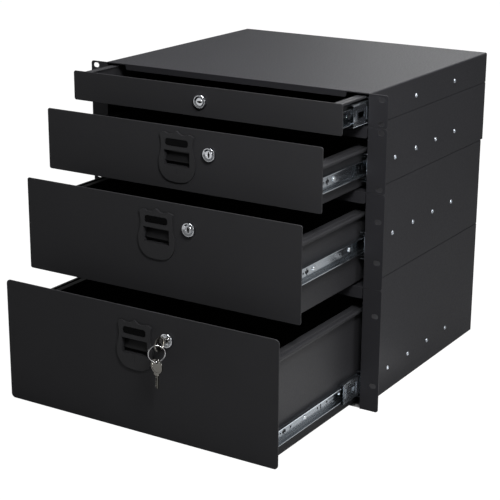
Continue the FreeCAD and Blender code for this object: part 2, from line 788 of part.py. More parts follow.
def build_shield(unit):
    body = new_body(f"latch_shield_{unit.tag}", unit.base, unit.opening)
    top = unit.shield_top
    outline = new_sketch(body, "XZ_Plane", front_face)
    shield_path(outline, top)
    pad(body, outline, dim.shield_rise, back=False)

    case_half = dim.pull_width / 2 + dim.pull_side_wall
    case_low = unit.pull_top - dim.pull_height - dim.pull_wall
    case_high = top - dim.case_top_drop
    pan_back = dim.pull_depth - dim.shield_rise + dim.pull_wall
    block = new_sketch(body, "XZ_Plane", front_face)
    rectangle(block, -case_half, case_half, case_low, case_high)
    pad(body, block, pan_back)

    pan = new_sketch(body, "XZ_Plane", front_face + dim.shield_rise)
    rectangle(pan, -dim.pull_width / 2, dim.pull_width / 2, unit.pull_top - dim.pull_height, unit.pull_top)
    pocket(body, pan, dim.pull_depth)

    label = new_sketch(body, "XZ_Plane", front_face + dim.shield_rise)
    rectangle(label, -dim.label_width / 2, dim.label_width / 2, top - dim.label_drop - dim.label_height / 2,
              top - dim.label_drop + dim.label_height / 2)
    pocket(body, label, dim.label_depth)

    guide = new_sketch(body, "XZ_Plane", front_face - dim.bolt_front + dim.bolt_gap)
    guide_half = dim.bolt_width / 2 + dim.bolt_gap
    rectangle(guide, -guide_half, guide_half, unit.pull_top + dim.pull_wall, case_high)
    pocket(body, guide, dim.pull_depth)

    gate = new_sketch(body, "XZ_Plane", front_face + dim.shield_rise - dim.pull_depth)
    gate_half = dim.paddle_tail_width / 2 + dim.gate_side_gap
    rectangle(gate, -gate_half, gate_half, unit.pivot_level - dim.gate_drop,
              unit.pivot_level + dim.gate_rise)
    pocket(body, gate, dim.pull_wall)

    pivots = new_sketch(body, "YZ_Plane", -case_half)
    polygon(pivots, dim.paddle_pivot_back - front_face, unit.pivot_level,
            dim.paddle_pin / 2 + dim.paddle_pin_fit, PIN_SIDES)
    pocket(body, pivots, case_half * 2, back=False)
    return body


def build_paddle(unit):
    """A flap that hangs from a pin at the top of the finger pull and leans forward to its lip."""
    body = new_body(f"latch_paddle_{unit.tag}", unit.base, unit.opening)
    half = dim.pull_width / 2 - dim.paddle_end_gap
    pivot_y = dim.paddle_pivot_back - front_face
    lip_y = dim.paddle_lip_back - front_face
    lip_z = unit.pull_top - dim.pull_height + dim.paddle_lip_gap
    side_view = new_sketch(body, "YZ_Plane", -half)
    closed_path(side_view, [
        (pivot_y - dim.paddle_sheet / 2, unit.pivot_level, None), (lip_y, lip_z + dim.paddle_sheet, None),
        (lip_y, lip_z, None), (lip_y + dim.paddle_sheet, lip_z, None),
        (pivot_y + dim.paddle_sheet / 2, unit.pivot_level, None)])
    pad(body, side_view, half * 2, back=False)
    barrel = new_sketch(body, "YZ_Plane", -half)
    polygon(barrel, pivot_y, unit.pivot_level, dim.paddle_barrel / 2, PIN_SIDES)
    pad(body, barrel, half * 2, back=False)
    pin_half = dim.pull_width / 2 + dim.pull_side_wall
    pin = new_sketch(body, "YZ_Plane", -pin_half)
    polygon(pin, pivot_y, unit.pivot_level, dim.paddle_pin / 2, PIN_SIDES)
    pad(body, pin, pin_half * 2, back=False)
    tail = new_sketch(body, "YZ_Plane", -dim.paddle_tail_width / 2)
    rectangle(tail, pivot_y, pivot_y + dim.paddle_tail_reach,
              unit.pivot_level - dim.paddle_tail_sheet / 2, unit.pivot_level + dim.paddle_tail_sheet / 2)
    pad(body, tail, dim.paddle_tail_width, back=False)
    return body


def build_bolt(unit):
    """A bevelled bolt above the finger pull, with a strap that the paddle's tail draws down."""
    body = new_body(f"latch_bolt_{unit.tag}", unit.base, unit.opening)
    tip = unit.top - unit.header_drop - dim.bolt_header_gap
    root = unit.pull_top + dim.pull_wall + dim.bolt_travel_room
    strap_front = dim.pull_depth - dim.shield_rise + dim.pull_wall + dim.bolt_gap - front_face
    strap_back = strap_front + dim.bolt_strap
    foot = unit.pivot_level - dim.bolt_window_height / 2 - dim.bolt_strap
    nose = dim.bolt_front - front_face
    side_view = new_sketch(body, "YZ_Plane", -dim.bolt_width / 2)
    closed_path(side_view, [
        (nose, root, None), (nose, tip, None), (strap_back - dim.bolt_bevel * 2, tip, None),
        (strap_back, tip - dim.bolt_bevel, None), (strap_back, foot, None),
        (strap_front, foot, None), (strap_front, root, None)])
    pad(body, side_view, dim.bolt_width, back=False)
    window = new_sketch(body, "XZ_Plane", -strap_front)
    half = dim.paddle_tail_width / 2 + dim.gate_side_gap
    rectangle(window, -half, half, unit.pivot_level - dim.bolt_window_height / 2,
              unit.pivot_level + dim.bolt_window_height / 2)
    pocket(body, window, dim.bolt_strap)
    return body


# ---------------------------------------------------------------------------------------
# Keys on a split ring, hanging from the lock of the lowest drawer
# ---------------------------------------------------------------------------------------
def key_shape(body, bow_y, bow_z, blade_low, blade_high, upright, across):
    """A flat key: a round bow with a hole and a blade. Upright keys hang with the blade down."""
    start = across - dim.key_sheet / 2
    bow = new_sketch(body, "YZ_Plane", start)
    polygon(bow, bow_y, bow_z, dim.key_bow / 2, RIVET_SIDES)
    pad(body, bow, dim.key_sheet, back=False)
    blade = new_sketch(body, "YZ_Plane", start)
    half = dim.key_blade_height / 2
    if upright:
        rectangle(blade, bow_y - half, bow_y + half, blade_low, blade_high)
    else:
        rectangle(blade, blade_low, blade_high, bow_z - half, bow_z + half)
    pad(body, blade, dim.key_sheet, back=False)
    eye = new_sketch(body, "YZ_Plane", start)
    if upright:
        polygon(eye, bow_y, bow_z + dim.key_hole_out, dim.key_hole / 2, PIN_SIDES)
    else:
        polygon(eye, bow_y - dim.key_hole_out, bow_z, dim.key_hole / 2, PIN_SIDES)
    pocket(body, eye, dim.key_sheet, back=False)


def build_keys(unit):
    stem = front_face + dim.bezel_rise + dim.key_neck
    bow_y = -(stem + dim.key_bow / 2)
    blade_start = bow_y + dim.key_blade_root
    key = new_body("lock_key", unit.base, unit.opening)
    key_shape(key, bow_y, unit.lock_level, blade_start,
              dim.key_blade_length - stem - dim.key_slot_depth / 2, False, unit.lock_across)

    eye_y = bow_y - dim.key_hole_out
    ring_level = unit.base + unit.lock_level - dim.ring_size / 2
    ring = new_body("key_ring")
    loop = new_sketch(ring, "XY_Plane", -dim.ring_wire / 2)
    polygon(loop, ZERO, ZERO, (dim.ring_size + dim.ring_wire) / 2)
    polygon(loop, ZERO, ZERO, (dim.ring_size - dim.ring_wire) / 2)
    pad(ring, loop, dim.ring_wire, back=False)
    upright = FreeCAD.Rotation(FreeCAD.Vector(1, 0, 0), 90)
    turned = FreeCAD.Rotation(FreeCAD.Vector(0, 0, 1), dim.ring_turn.value)
    ring.Placement = FreeCAD.Placement(FreeCAD.Vector(unit.lock_across.value, (eye_y - unit.opening).value,
                                                      ring_level.value), turned * upright)
    bind(ring, "Placement.Base.x", unit.lock_across)
    bind(ring, "Placement.Base.y", eye_y - unit.opening)
    bind(ring, "Placement.Base.z", ring_level)

    spare = new_body("spare_key", ring_level - dim.ring_size / 2, unit.opening - eye_y)
    spare.Placement.Rotation = FreeCAD.Rotation(FreeCAD.Vector(0, 0, 1), dim.spare_key_turn.value)
    bind(spare, "Placement.Base.x", unit.lock_across)
    bow_z = -dim.key_hole_out
    blade_tip = bow_z - dim.key_bow / 2 - dim.key_blade_length
    key_shape(spare, ZERO, bow_z, blade_tip, bow_z - dim.key_blade_root, True, ZERO)
    return [key, ring, spare]


# ---------------------------------------------------------------------------------------
# Build, check and write every piece
# ---------------------------------------------------------------------------------------
def build_all():
    pieces = []
    for unit in UNITS:
        place_unit(unit)
        pieces.append(build_case(unit))
        pieces += build_slides(unit)
        pieces += [build_outer_cages(unit), build_inner_cages(unit), build_tray(unit), build_front(unit)]
        pieces += build_lock(unit)
        if not is_low(unit):
            pieces += [build_shield(unit), build_paddle(unit), build_bolt(unit)]
        if unit.height == 4:
            pieces += build_keys(unit)
    pieces.append(build_rivets())
    return pieces


pieces = build_all()
doc.recompute()
for item in doc.Objects:
    if "Invalid" in item.State or "Error" in item.State:
        raise RuntimeError(f"{item.Name} failed: {item.State}")
for piece in pieces:
    if piece.Shape.isNull() or not piece.Shape.isValid():
        raise RuntimeError(f"{piece.Label} has no valid shape")
for piece in pieces:
    piece.Shape.exportStep(f"parts/{piece.Label}.step")
    box = piece.Shape.BoundBox
    print(f"{piece.Label}: {len(piece.Shape.Solids)} solids, {piece.Shape.Volume:.0f} mm3, "
          f"{box.XLength:.1f} x {box.YLength:.1f} x {box.ZLength:.1f} mm")
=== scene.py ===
import math

import bpy
from mathutils import Matrix, Vector


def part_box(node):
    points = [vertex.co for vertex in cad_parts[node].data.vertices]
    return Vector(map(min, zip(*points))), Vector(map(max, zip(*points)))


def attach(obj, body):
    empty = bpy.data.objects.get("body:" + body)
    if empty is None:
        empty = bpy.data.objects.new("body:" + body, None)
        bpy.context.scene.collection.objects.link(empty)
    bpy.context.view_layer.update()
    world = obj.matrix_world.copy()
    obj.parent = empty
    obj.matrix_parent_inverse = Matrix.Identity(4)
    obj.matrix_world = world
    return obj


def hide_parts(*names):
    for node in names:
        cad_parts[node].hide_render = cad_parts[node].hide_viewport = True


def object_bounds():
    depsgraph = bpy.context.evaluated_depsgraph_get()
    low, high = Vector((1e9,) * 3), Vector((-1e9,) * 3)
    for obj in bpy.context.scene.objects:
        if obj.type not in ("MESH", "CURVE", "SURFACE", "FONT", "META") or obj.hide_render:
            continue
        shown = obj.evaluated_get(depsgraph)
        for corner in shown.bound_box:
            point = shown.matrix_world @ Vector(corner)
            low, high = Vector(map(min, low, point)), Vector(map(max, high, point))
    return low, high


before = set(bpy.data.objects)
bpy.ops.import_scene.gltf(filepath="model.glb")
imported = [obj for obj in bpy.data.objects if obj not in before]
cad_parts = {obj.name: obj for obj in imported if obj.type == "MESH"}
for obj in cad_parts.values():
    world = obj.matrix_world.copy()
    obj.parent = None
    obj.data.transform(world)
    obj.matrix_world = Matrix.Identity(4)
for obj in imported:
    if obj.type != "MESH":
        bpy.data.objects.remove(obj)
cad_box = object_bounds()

# ---------------------------------------------------------------------------------------
# The studio: a long lens that looks down from the front right, soft lamps, two cards that
# only bright surfaces mirror, and white paper below and behind. The paper doesn't glow
# under the cases, which are open at the bottom and would let the light in.
# ---------------------------------------------------------------------------------------
MM = 0.001
CAMERA_PLACE = Vector((1.062177, -1.659710, 0.808198))
CAMERA_RIGHT = Vector((0.8486153, 0.5289789, 0.00577919))
CAMERA_UP = Vector((-0.1618959, 0.24929042, 0.9548005))
CAMERA_BACK = Vector((0.50362862, -0.81119394, 0.29719118))
LENS_MM = 104.19
SENSOR_MM = 36.0
PAPER_WIDTH = 30.0
PAPER_DROP = 0.5 * MM
SHADE_HALF_WIDTH = 213 * MM
SHADE_INSET = 4 * MM
GLOW_SHARE = 0.88

camera_data = bpy.data.cameras.new("studio_camera")
camera_data.lens = LENS_MM
camera_data.sensor_width = SENSOR_MM
camera = bpy.data.objects.new("studio_camera", camera_data)
camera_turn = Matrix((CAMERA_RIGHT, CAMERA_UP, CAMERA_BACK)).transposed().to_4x4()
camera.matrix_world = Matrix.Translation(CAMERA_PLACE) @ camera_turn
bpy.context.scene.collection.objects.link(camera)
bpy.context.scene.camera = camera
bpy.context.scene.view_settings.view_transform = "Standard"


def linear(hex_colour):
    """A linear colour from an sRGB hex value."""
    channels = [int(hex_colour[i:i + 2], 16) / 255 for i in (1, 3, 5)]
    straight = [c / 12.92 if c <= 0.04045 else ((c + 0.055) / 1.055) ** 2.4 for c in channels]
    return (*straight, 1.0)


def add_node(material, kind, settings=None, links=None):
    """Adds one node, sets its values and links its inputs from other nodes' outputs."""
    tree = material.node_tree
    node = tree.nodes.new(kind)
    for name, value in (settings or {}).items():
        if isinstance(name, int) or name in node.inputs:
            node.inputs[name].default_value = value
        else:
            setattr(node, name, value)
    for name, (source, output) in (links or {}).items():
        tree.links.new(source.outputs[output], node.inputs[name])
    return node


def new_material(name):
    """A material with no nodes yet."""
    material = bpy.data.materials.new(name)
    material.use_nodes = True
    material.node_tree.nodes.clear()
    return material


def lamp(name, place, aim, size, watts):
    """A soft rectangular lamp at a place, turned to its aim and not seen itself."""
    data = bpy.data.lights.new(name, "AREA")
    data.shape = "RECTANGLE"
    data.size, data.size_y = size
    data.energy = watts
    lamp_object = bpy.data.objects.new(name, data)
    direction = Vector(aim) - Vector(place)
    lamp_object.matrix_world = (Matrix.Translation(place)
                                @ direction.to_track_quat("-Z", "Y").to_matrix().to_4x4())
    lamp_object.visible_camera = False
    bpy.context.scene.collection.objects.link(lamp_object)
    return lamp_object


lamp("corner_softbox", (0.64, -0.62, 0.98), (0.2, -0.1, 0.44), (0.3, 0.3), 12.5)
lamp("overhead_softbox", (0.3, 0.2, 2.1), (0.15, 0.15, 0.4), (0.9, 0.9), 64)
lamp("rear_softbox", (-0.5, 2.9, 1.5), (0.1, 0.3, 0.4), (1.6, 0.9), 17)
lamp("side_softbox", (2.6, -0.2, 1.3), (0.2, 0.0, 0.25), (1.0, 1.0), 20)
front_card = lamp("front_card", (-0.85, -0.95, 0.3), (0.05, -0.1, 0.35), (0.9, 0.6), 1.2)
low_card = lamp("low_card", (0.36, -0.05, 0.004), (0.36, -0.05, 1.0), (0.22, 0.5), 0.42)
for card in (front_card, low_card):
    card.visible_diffuse = False


def seen_as_white(material, glossy_share):
    """1 for what is seen straight or through glass, and a share of it for what metal mirrors."""
    ray = add_node(material, "ShaderNodeLightPath")
    straight = add_node(material, "ShaderNodeMath", {"operation": "MAXIMUM"},
                        {0: (ray, "Is Camera Ray"), 1: (ray, "Is Transmission Ray")})
    mirrored = add_node(material, "ShaderNodeMath", {"operation": "MULTIPLY", 1: glossy_share},
                        {0: (ray, "Is Glossy Ray")})
    return add_node(material, "ShaderNodeMath", {"operation": "MAXIMUM"},
                    {0: (straight, 0), 1: (mirrored, 0)})


# The room is white where it is looked at, a little bright in metal, and gives dim light.
world = bpy.data.worlds.new("white_studio")
world.use_nodes = True
world.node_tree.nodes.clear()
dim_sky = add_node(world, "ShaderNodeBackground", {"Color": linear("#ffffff"), "Strength": 0.11})
white_sky = add_node(world, "ShaderNodeBackground", {"Color": linear("#ffffff"), "Strength": 1.0})
sky = add_node(world, "ShaderNodeMixShader", {},
               {0: (seen_as_white(world, 0.12), 0), 1: (dim_sky, 0), 2: (white_sky, 0)})
add_node(world, "ShaderNodeOutputWorld", {}, {"Surface": (sky, 0)})
bpy.context.scene.world = world

bpy.ops.object.select_all(action="DESELECT")
bpy.ops.mesh.primitive_plane_add(size=PAPER_WIDTH, location=(0, 0, cad_box[0][2] - PAPER_DROP))
floor = bpy.context.object
floor.name = "studio_floor"

# Matt white paper. It looks pure white, with a faint grey shadow round the stack.
floor_paper = new_material("white_paper_floor")
paper = add_node(floor_paper, "ShaderNodeBsdfDiffuse", {"Color": linear("#8c8c8c")})
glow = add_node(floor_paper, "ShaderNodeEmission", {"Color": linear("#ffffff"), "Strength": 1.16})
paper_place = add_node(floor_paper, "ShaderNodeTexCoord")
case_front, case_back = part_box("case_4u")
shade_half = (case_back.y - case_front.y) / 2 - SHADE_INSET
shade_middle = (case_back.y + case_front.y) / 2
shade_box = add_node(floor_paper, "ShaderNodeMapping",
                     {"Location": (0.0, -shade_middle / shade_half, 0.0),
                      "Scale": (1 / SHADE_HALF_WIDTH, 1 / shade_half, 1.0)},
                     {"Vector": (paper_place, "Object")})
off_centre = add_node(floor_paper, "ShaderNodeVectorMath", {"operation": "ABSOLUTE"},
                      {0: (shade_box, 0)})
apart = add_node(floor_paper, "ShaderNodeSeparateXYZ", {}, {0: (off_centre, 0)})
beside = add_node(floor_paper, "ShaderNodeMath", {"operation": "GREATER_THAN", 1: 1.0},
                  {0: (apart, "X")})
beyond = add_node(floor_paper, "ShaderNodeMath", {"operation": "GREATER_THAN", 1: 1.0},
                  {0: (apart, "Y")})
in_the_open = add_node(floor_paper, "ShaderNodeMath", {"operation": "MAXIMUM"},
                       {0: (beside, 0), 1: (beyond, 0)})
open_share = add_node(floor_paper, "ShaderNodeMath", {"operation": "MULTIPLY", 1: GLOW_SHARE},
                      {0: (in_the_open, 0)})
glow_share = add_node(floor_paper, "ShaderNodeMath", {"operation": "MULTIPLY"},
                      {0: (seen_as_white(floor_paper, 0.1), 0), 1: (open_share, 0)})
lit_paper = add_node(floor_paper, "ShaderNodeMixShader", {},
                     {0: (glow_share, 0), 1: (paper, 0), 2: (glow, 0)})
add_node(floor_paper, "ShaderNodeOutputMaterial", {}, {"Surface": (lit_paper, 0)})
floor.data.materials.append(floor_paper)

# ---------------------------------------------------------------------------------------
# Cases and trays: 1.5 and 1.2 mm steel sheet, punched and folded, powder coated black.
# The side walls of a tray end in a hem that is rolled outward over the slides. The baked
# polyester coat is slightly rough: it spreads a highlight and mirrors nothing.
# ---------------------------------------------------------------------------------------
UNITS = ("1u", "2u", "3u", "4u")
WELD_DISTANCE = 0.004 * MM
FLAT_WITHIN = math.radians(0.5)
FOLD_ROUND = 0.3 * MM
HEM_WIDTH = 6.5 * MM
HEM_HEIGHT = {"1u": 3.5 * MM, "2u": 5.5 * MM, "3u": 5.5 * MM, "4u": 5.5 * MM}
HEM_LAP = 0.4 * MM
HEM_ROUNDING = 0.4


def powder_coat(name, colour, light_patch, roughness, gloss, grit_mm, bump):
    """Baked powder coat: fine grit, and a tone that drifts over 110 mm. Real grit is 0.2 mm
    and is drawn coarser."""
    material = new_material(name)
    place = add_node(material, "ShaderNodeTexCoord")
    grit = add_node(material, "ShaderNodeTexNoise", {"Scale": 1000 / grit_mm, "Detail": 3.0},
                    {"Vector": (place, "Object")})
    patch = add_node(material, "ShaderNodeTexNoise", {"Scale": 9.0, "Detail": 2.0},
                     {"Vector": (place, "Object")})
    speck = add_node(material, "ShaderNodeMath", {"operation": "MULTIPLY_ADD", 1: 0.6, 2: 0.0},
                     {0: (grit, "Fac")})
    tone = add_node(material, "ShaderNodeMath", {"operation": "MULTIPLY_ADD", 1: 0.5},
                    {0: (patch, "Fac"), 2: (speck, 0)})
    shade = add_node(material, "ShaderNodeMix", {"data_type": "RGBA", 6: linear(colour),
                                                 7: linear(light_patch)}, {0: (tone, 0)})
    rough = add_node(material, "ShaderNodeMapRange",
                     {"From Min": 0.3, "From Max": 0.7, "To Min": roughness - 0.06,
                      "To Max": roughness + 0.06}, {"Value": (grit, "Fac")})
    skin = add_node(material, "ShaderNodeBump", {"Strength": bump, "Distance": 0.0003},
                    {"Height": (grit, "Fac")})
    coat = add_node(material, "ShaderNodeBsdfPrincipled",
                    {"IOR": 1.48, "Specular IOR Level": gloss},
                    {"Base Color": (shade, 2), "Roughness": (rough, 0), "Normal": (skin, 0)})
    add_node(material, "ShaderNodeOutputMaterial", {}, {"Surface": (coat, 0)})
    return material


def select_only(piece):
    """Selects one piece and makes it the one that operators work on."""
    bpy.ops.object.select_all(action="DESELECT")
    piece.select_set(True)
    bpy.context.view_layer.objects.active = piece


def apply_all(piece):
    """Applies every modifier of a piece, in order."""
    select_only(piece)
    for modifier in list(piece.modifiers):
        bpy.ops.object.modifier_apply(modifier=modifier.name)


def soften(piece, width, segments=2, angle=30):
    """Rounds a piece's sharp edges, shades it smooth between them and keeps its flats flat."""
    rounding = piece.modifiers.new("edge_round", "BEVEL")
    rounding.width = width
    rounding.segments = segments
    rounding.limit_method = "ANGLE"
    rounding.angle_limit = math.radians(angle)
    apply_all(piece)
    bpy.ops.object.shade_smooth_by_angle(angle=math.radians(50))
    flats = piece.modifiers.new("flats_stay_flat", "WEIGHTED_NORMAL")
    flats.weight = 100
    flats.keep_sharp = True
    apply_all(piece)


def worked_copy(node, name):
    """A copy of a solid of the frame, merged to whole faces that tools can work on."""
    piece = bpy.data.objects.new(name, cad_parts[node].data.copy())
    bpy.context.scene.collection.objects.link(piece)
    select_only(piece)
    bpy.ops.mesh.customdata_custom_splitnormals_clear()
    bpy.ops.object.mode_set(mode="EDIT")
    bpy.ops.mesh.select_all(action="SELECT")
    bpy.ops.mesh.remove_doubles(threshold=WELD_DISTANCE)
    bpy.ops.mesh.dissolve_limited(angle_limit=FLAT_WITHIN)
    bpy.ops.object.mode_set(mode="OBJECT")
    return piece


def settle(piece, material, body, slot_name, *nodes):
    """Gives a piece its finish, the body that it rides on and the solids that it stands for."""
    piece.data.materials.clear()
    piece.data.materials.append(material)
    for face in piece.data.polygons:
        face.material_index = 0
    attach(piece, body)
    if nodes:
        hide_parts(*nodes)


def block(low, high):
    """A block between two corners, to cut with or to work into a piece."""
    bpy.ops.object.select_all(action="DESELECT")
    middle = [(a + b) / 2 for a, b in zip(low, high)]
    bpy.ops.mesh.primitive_cube_add(size=1.0, location=middle)
    shape = bpy.context.object
    shape.scale = [b - a for a, b in zip(low, high)]
    bpy.ops.object.transform_apply(location=True, rotation=True, scale=True)
    return shape


def join_as(pieces, name):
    """Makes one piece of several and names it."""
    bpy.ops.object.select_all(action="DESELECT")
    for piece in pieces:
        piece.select_set(True)
    bpy.context.view_layer.objects.active = pieces[0]
    bpy.ops.object.join()
    joined = bpy.context.object
    joined.name = name
    return joined


def rolled_hem(unit, side):
    """The hem along the top of one side wall of a tray."""
    low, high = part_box(f"tray_{unit}")
    inner, outer = sorted((side * (high.x - HEM_LAP), side * (high.x + HEM_WIDTH)))
    hem = block((inner, low.y + 0.2 * MM, high.z - HEM_HEIGHT[unit]),
                (outer, high.y - 0.5 * MM, high.z - 0.02 * MM))
    soften(hem, HEM_HEIGHT[unit] * HEM_ROUNDING, 5, 60)
    return hem


# Baked polyester powder. It looks near black, with a soft grey sheen on what faces a lamp
# and a fine grit close by. The coat of the trays shines a little more.
case_coat = powder_coat("case_powder_coat", "#212123", "#27272a", 0.5, 0.1, 2.2, 0.3)
tray_coat = powder_coat("tray_powder_coat", "#232325", "#29292b", 0.5, 0.14, 2.2, 0.25)
for unit in UNITS:
    case = worked_copy(f"case_{unit}", f"folded_case_{unit}")
    soften(case, FOLD_ROUND)
    settle(case, case_coat, "stack", "case_paint", f"case_{unit}")
    tray = worked_copy(f"tray_{unit}", f"folded_tray_{unit}")
    soften(tray, FOLD_ROUND)
    for side in (1, -1):
        tray = join_as([tray, rolled_hem(unit, side)], f"folded_tray_{unit}")
    settle(tray, tray_coat, f"drawer_{unit}", "case_paint", f"tray_{unit}")

# ---------------------------------------------------------------------------------------
# Drawer fronts: 2 mm steel plates, cut by laser and tumbled, so that every edge has a
# small round that catches the light. Powder coated like the cases and screwed to the tray.
# ---------------------------------------------------------------------------------------
FRONT_ROUND = 0.45 * MM

# The same powder as the cases, painted a tone lighter than the cases' as painted light, so that
# the fronts look more brightly lit than the ears beside them: an even charcoal face with hardly
# any shine.
front_coat = powder_coat("front_powder_coat", "#262627", "#2d2d2f", 0.46, 0.05, 2.0, 0.25)
for unit in UNITS:
    plate = worked_copy(f"front_{unit}", f"front_plate_{unit}")
    soften(plate, FRONT_ROUND)
    settle(plate, front_coat, f"drawer_{unit}", "front_paint", f"front_{unit}")

# ---------------------------------------------------------------------------------------
# Rivets: blind rivets of zinc plated steel that hold the slides to the case sides. Each
# has a low domed head with a rolled rim, and the broken-off mandrel sunk in its middle.
# ---------------------------------------------------------------------------------------
CASE_HALF = 0.215
RIVET_RADIUS = 3.0 * MM
RIVET_FLANGE = 0.7 * MM
MANDREL_SINK = 0.6 * MM

# Where a side's first rivet is, how far apart the rivets are and how many there are.
RIVETS = {"1u": (0.138, 0.128, 2), "2u": (0.0785, 0.065, 4), "3u": (0.0785, 0.065, 4),
          "4u": (0.0785, 0.065, 4)}


def slide_level(unit):
    """The height of a drawer's slides, at the middle of their channels."""
    low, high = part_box(f"cabinet_members_{unit}")
    return (low.z + high.z) / 2


def plated_steel(name, colour, stain, roughness, strip_mm, bump=0.0):
    """Plated or polished metal, with a tone that drifts over 45 mm. Rolling lines, 0.2 mm
    apart on the real strip, run along its length and are drawn coarser."""
    material = new_material(name)
    place = add_node(material, "ShaderNodeTexCoord")
    along = add_node(material, "ShaderNodeMapping",
                     {"Scale": (1000 / strip_mm, 5.0, 1000 / strip_mm)},
                     {"Vector": (place, "Object")})
    lines = add_node(material, "ShaderNodeTexNoise", {"Scale": 1.0, "Detail": 2.0},
                     {"Vector": (along, 0)})
    cloud = add_node(material, "ShaderNodeTexNoise", {"Scale": 22.0, "Detail": 1.0},
                     {"Vector": (place, "Object")})
    shade = add_node(material, "ShaderNodeMix", {"data_type": "RGBA", 6: linear(colour),
                                                 7: linear(stain)}, {0: (cloud, "Fac")})
    rough = add_node(material, "ShaderNodeMapRange",
                     {"From Min": 0.3, "From Max": 0.7, "To Min": roughness - 0.06,
                      "To Max": roughness + 0.06}, {"Value": (lines, "Fac")})
    ripple = add_node(material, "ShaderNodeBump", {"Strength": bump, "Distance": 0.0001},
                      {"Height": (lines, "Fac")})
    metal = add_node(material, "ShaderNodeBsdfPrincipled", {"Metallic": 1.0},
                     {"Base Color": (shade, 2), "Roughness": (rough, 0), "Normal": (ripple, 0)})
    add_node(material, "ShaderNodeOutputMaterial", {}, {"Surface": (metal, 0)})
    return material


def pick_faces(piece, test):
    """Selects, in edit mode, the faces whose centre and normal pass a test."""
    bpy.ops.mesh.select_mode(type="FACE")
    bpy.ops.mesh.select_all(action="DESELECT")
    bpy.ops.object.mode_set(mode="OBJECT")
    for face in piece.data.polygons:
        face.select = test(face.center, face.normal)
    bpy.ops.object.mode_set(mode="EDIT")


def front_only(centre, normal):
    """The test that passes the faces that look at the front."""
    return normal.y < -0.9


def step_front(distance, scale):
    """Extrudes the selected face along Y and widens or narrows it about its own axis."""
    bpy.ops.mesh.extrude_region_move(TRANSFORM_OT_translate={"value": (0, distance, 0)})
    bpy.ops.transform.resize(value=(scale, 1, scale))


def facing_out(side):
    """The turn that makes a piece that looks at the front look out of one side."""
    return Matrix.Rotation(math.radians(90 * side), 4, "Z")


def placed_copy(piece, name, matrix):
    """A copy with its own mesh, with its new place in the mesh."""
    twin = piece.copy()
    twin.data = piece.data.copy()
    twin.name = name
    twin.data.transform(matrix)
    bpy.context.scene.collection.objects.link(twin)
    return twin


def turned(name, profile_radius, depth, sides, start_y):
    """A round blank that stands along Y with its front face at start_y, placed in its mesh."""
    bpy.ops.object.select_all(action="DESELECT")
    bpy.ops.mesh.primitive_cylinder_add(vertices=sides, radius=profile_radius, depth=depth,
                                        rotation=(math.pi / 2, 0, 0),
                                        location=(0, start_y + depth / 2, 0))
    blank = bpy.context.object
    blank.name = name
    bpy.ops.object.transform_apply(location=True, rotation=True, scale=True)
    return blank


# Zinc plate. It gives small grey glints, dull enough that no lamp shows in them.
rivet_zinc = plated_steel("zinc_rivet", "#c3c8ce", "#9aa1a9", 0.32, 0.8)
rivet = turned("rivet_master", RIVET_RADIUS, RIVET_FLANGE, 16, 0.0)
bpy.ops.object.mode_set(mode="EDIT")
pick_faces(rivet, front_only)
step_front(-0.5 * MM, 0.8)
step_front(-0.35 * MM, 0.68)
bpy.ops.mesh.inset(thickness=0.45 * MM)
bpy.ops.mesh.extrude_region_move(TRANSFORM_OT_translate={"value": (0, MANDREL_SINK, 0)})
bpy.ops.object.mode_set(mode="OBJECT")
bpy.ops.object.shade_smooth_by_angle(angle=math.radians(50))
heads = []
for unit in UNITS:
    first, pitch, count = RIVETS[unit]
    for index in range(count):
        for side in (1, -1):
            spot = (side * (CASE_HALF + RIVET_FLANGE), first + index * pitch, slide_level(unit))
            heads.append(placed_copy(rivet, f"rivet_{unit}_{index}_{side}",
                                     Matrix.Translation(spot) @ facing_out(side)))
bpy.data.objects.remove(rivet)
settle(join_as(heads, "slide_rivet_heads"), rivet_zinc, "stack", "zinc", "slide_rivets")

# ---------------------------------------------------------------------------------------
# Telescopic slides: three channels rolled from 1.2 mm steel strip, plated with bright
# blue-passivated zinc. The middle channel is stamped and punched, and the inner one is
# punched with groups of holes and held to the tray by pan head screws.
# ---------------------------------------------------------------------------------------
TRAY_WALL = 0.2008
MIDDLE_WEB = 0.2116
STRIP_HALF = 0.6 * MM
PUNCH_REACH = 3 * MM
STAMP_DEPTH = 0.45 * MM
CHANNEL_ROUND = 0.22 * MM
OUTER_ROUND = 0.25 * MM

# The groups of holes in an inner channel, and what each group has behind its start.
GROUP_START = 31 * MM
GROUP_PITCH = 0.0963
GROUPS = 3
PILOT_RADIUS = 1.7 * MM
SLOT_HALF_HEIGHT = 4.6 * MM
TRIANGLE_RADIUS = 3.0 * MM
SCREW_HEAD_AT = 2.0 * MM
SCREW_BEHIND = {"1u": 60 * MM, "2u": 25 * MM, "3u": 25 * MM, "4u": 60 * MM}

# Lines stamped into a middle channel, in mm: front, back, low and high. Four of them make a
# frame. Then the places of its holes, in mm from its front.
STAMPED_LINES = ((5, 36, 7.0, 8.6), (5, 36, -8.6, -7.0), (5, 6.6, -7.0, 7.0),
                 (34.4, 36, -7.0, 7.0), (40, 80, 5.2, 6.4), (40, 80, -6.4, -5.2))
MIDDLE_HOLES = (58.0, 140.0, 236.0, 320.0)
MIDDLE_HOLE_RADIUS = 3.2 * MM

# Zinc plate on rolled strip. It mirrors the room as pale streaks along the slide.
slide_zinc = plated_steel("bright_zinc_strip", "#c8cdd2", "#adb5bd", 0.2, 2.4, 0.02)
screw_steel = plated_steel("zinc_screw", "#e2e5e8", "#c4c9ce", 0.3, 0.7)


def punch(piece, cutters):
    """Cuts a set of punched holes out of a piece in one stroke."""
    tool = join_as(cutters, "punch")
    cut = piece.modifiers.new("punched", "BOOLEAN")
    cut.operation = "DIFFERENCE"
    cut.solver = "EXACT"
    cut.use_self = True
    cut.object = tool
    apply_all(piece)
    bpy.data.objects.remove(tool)


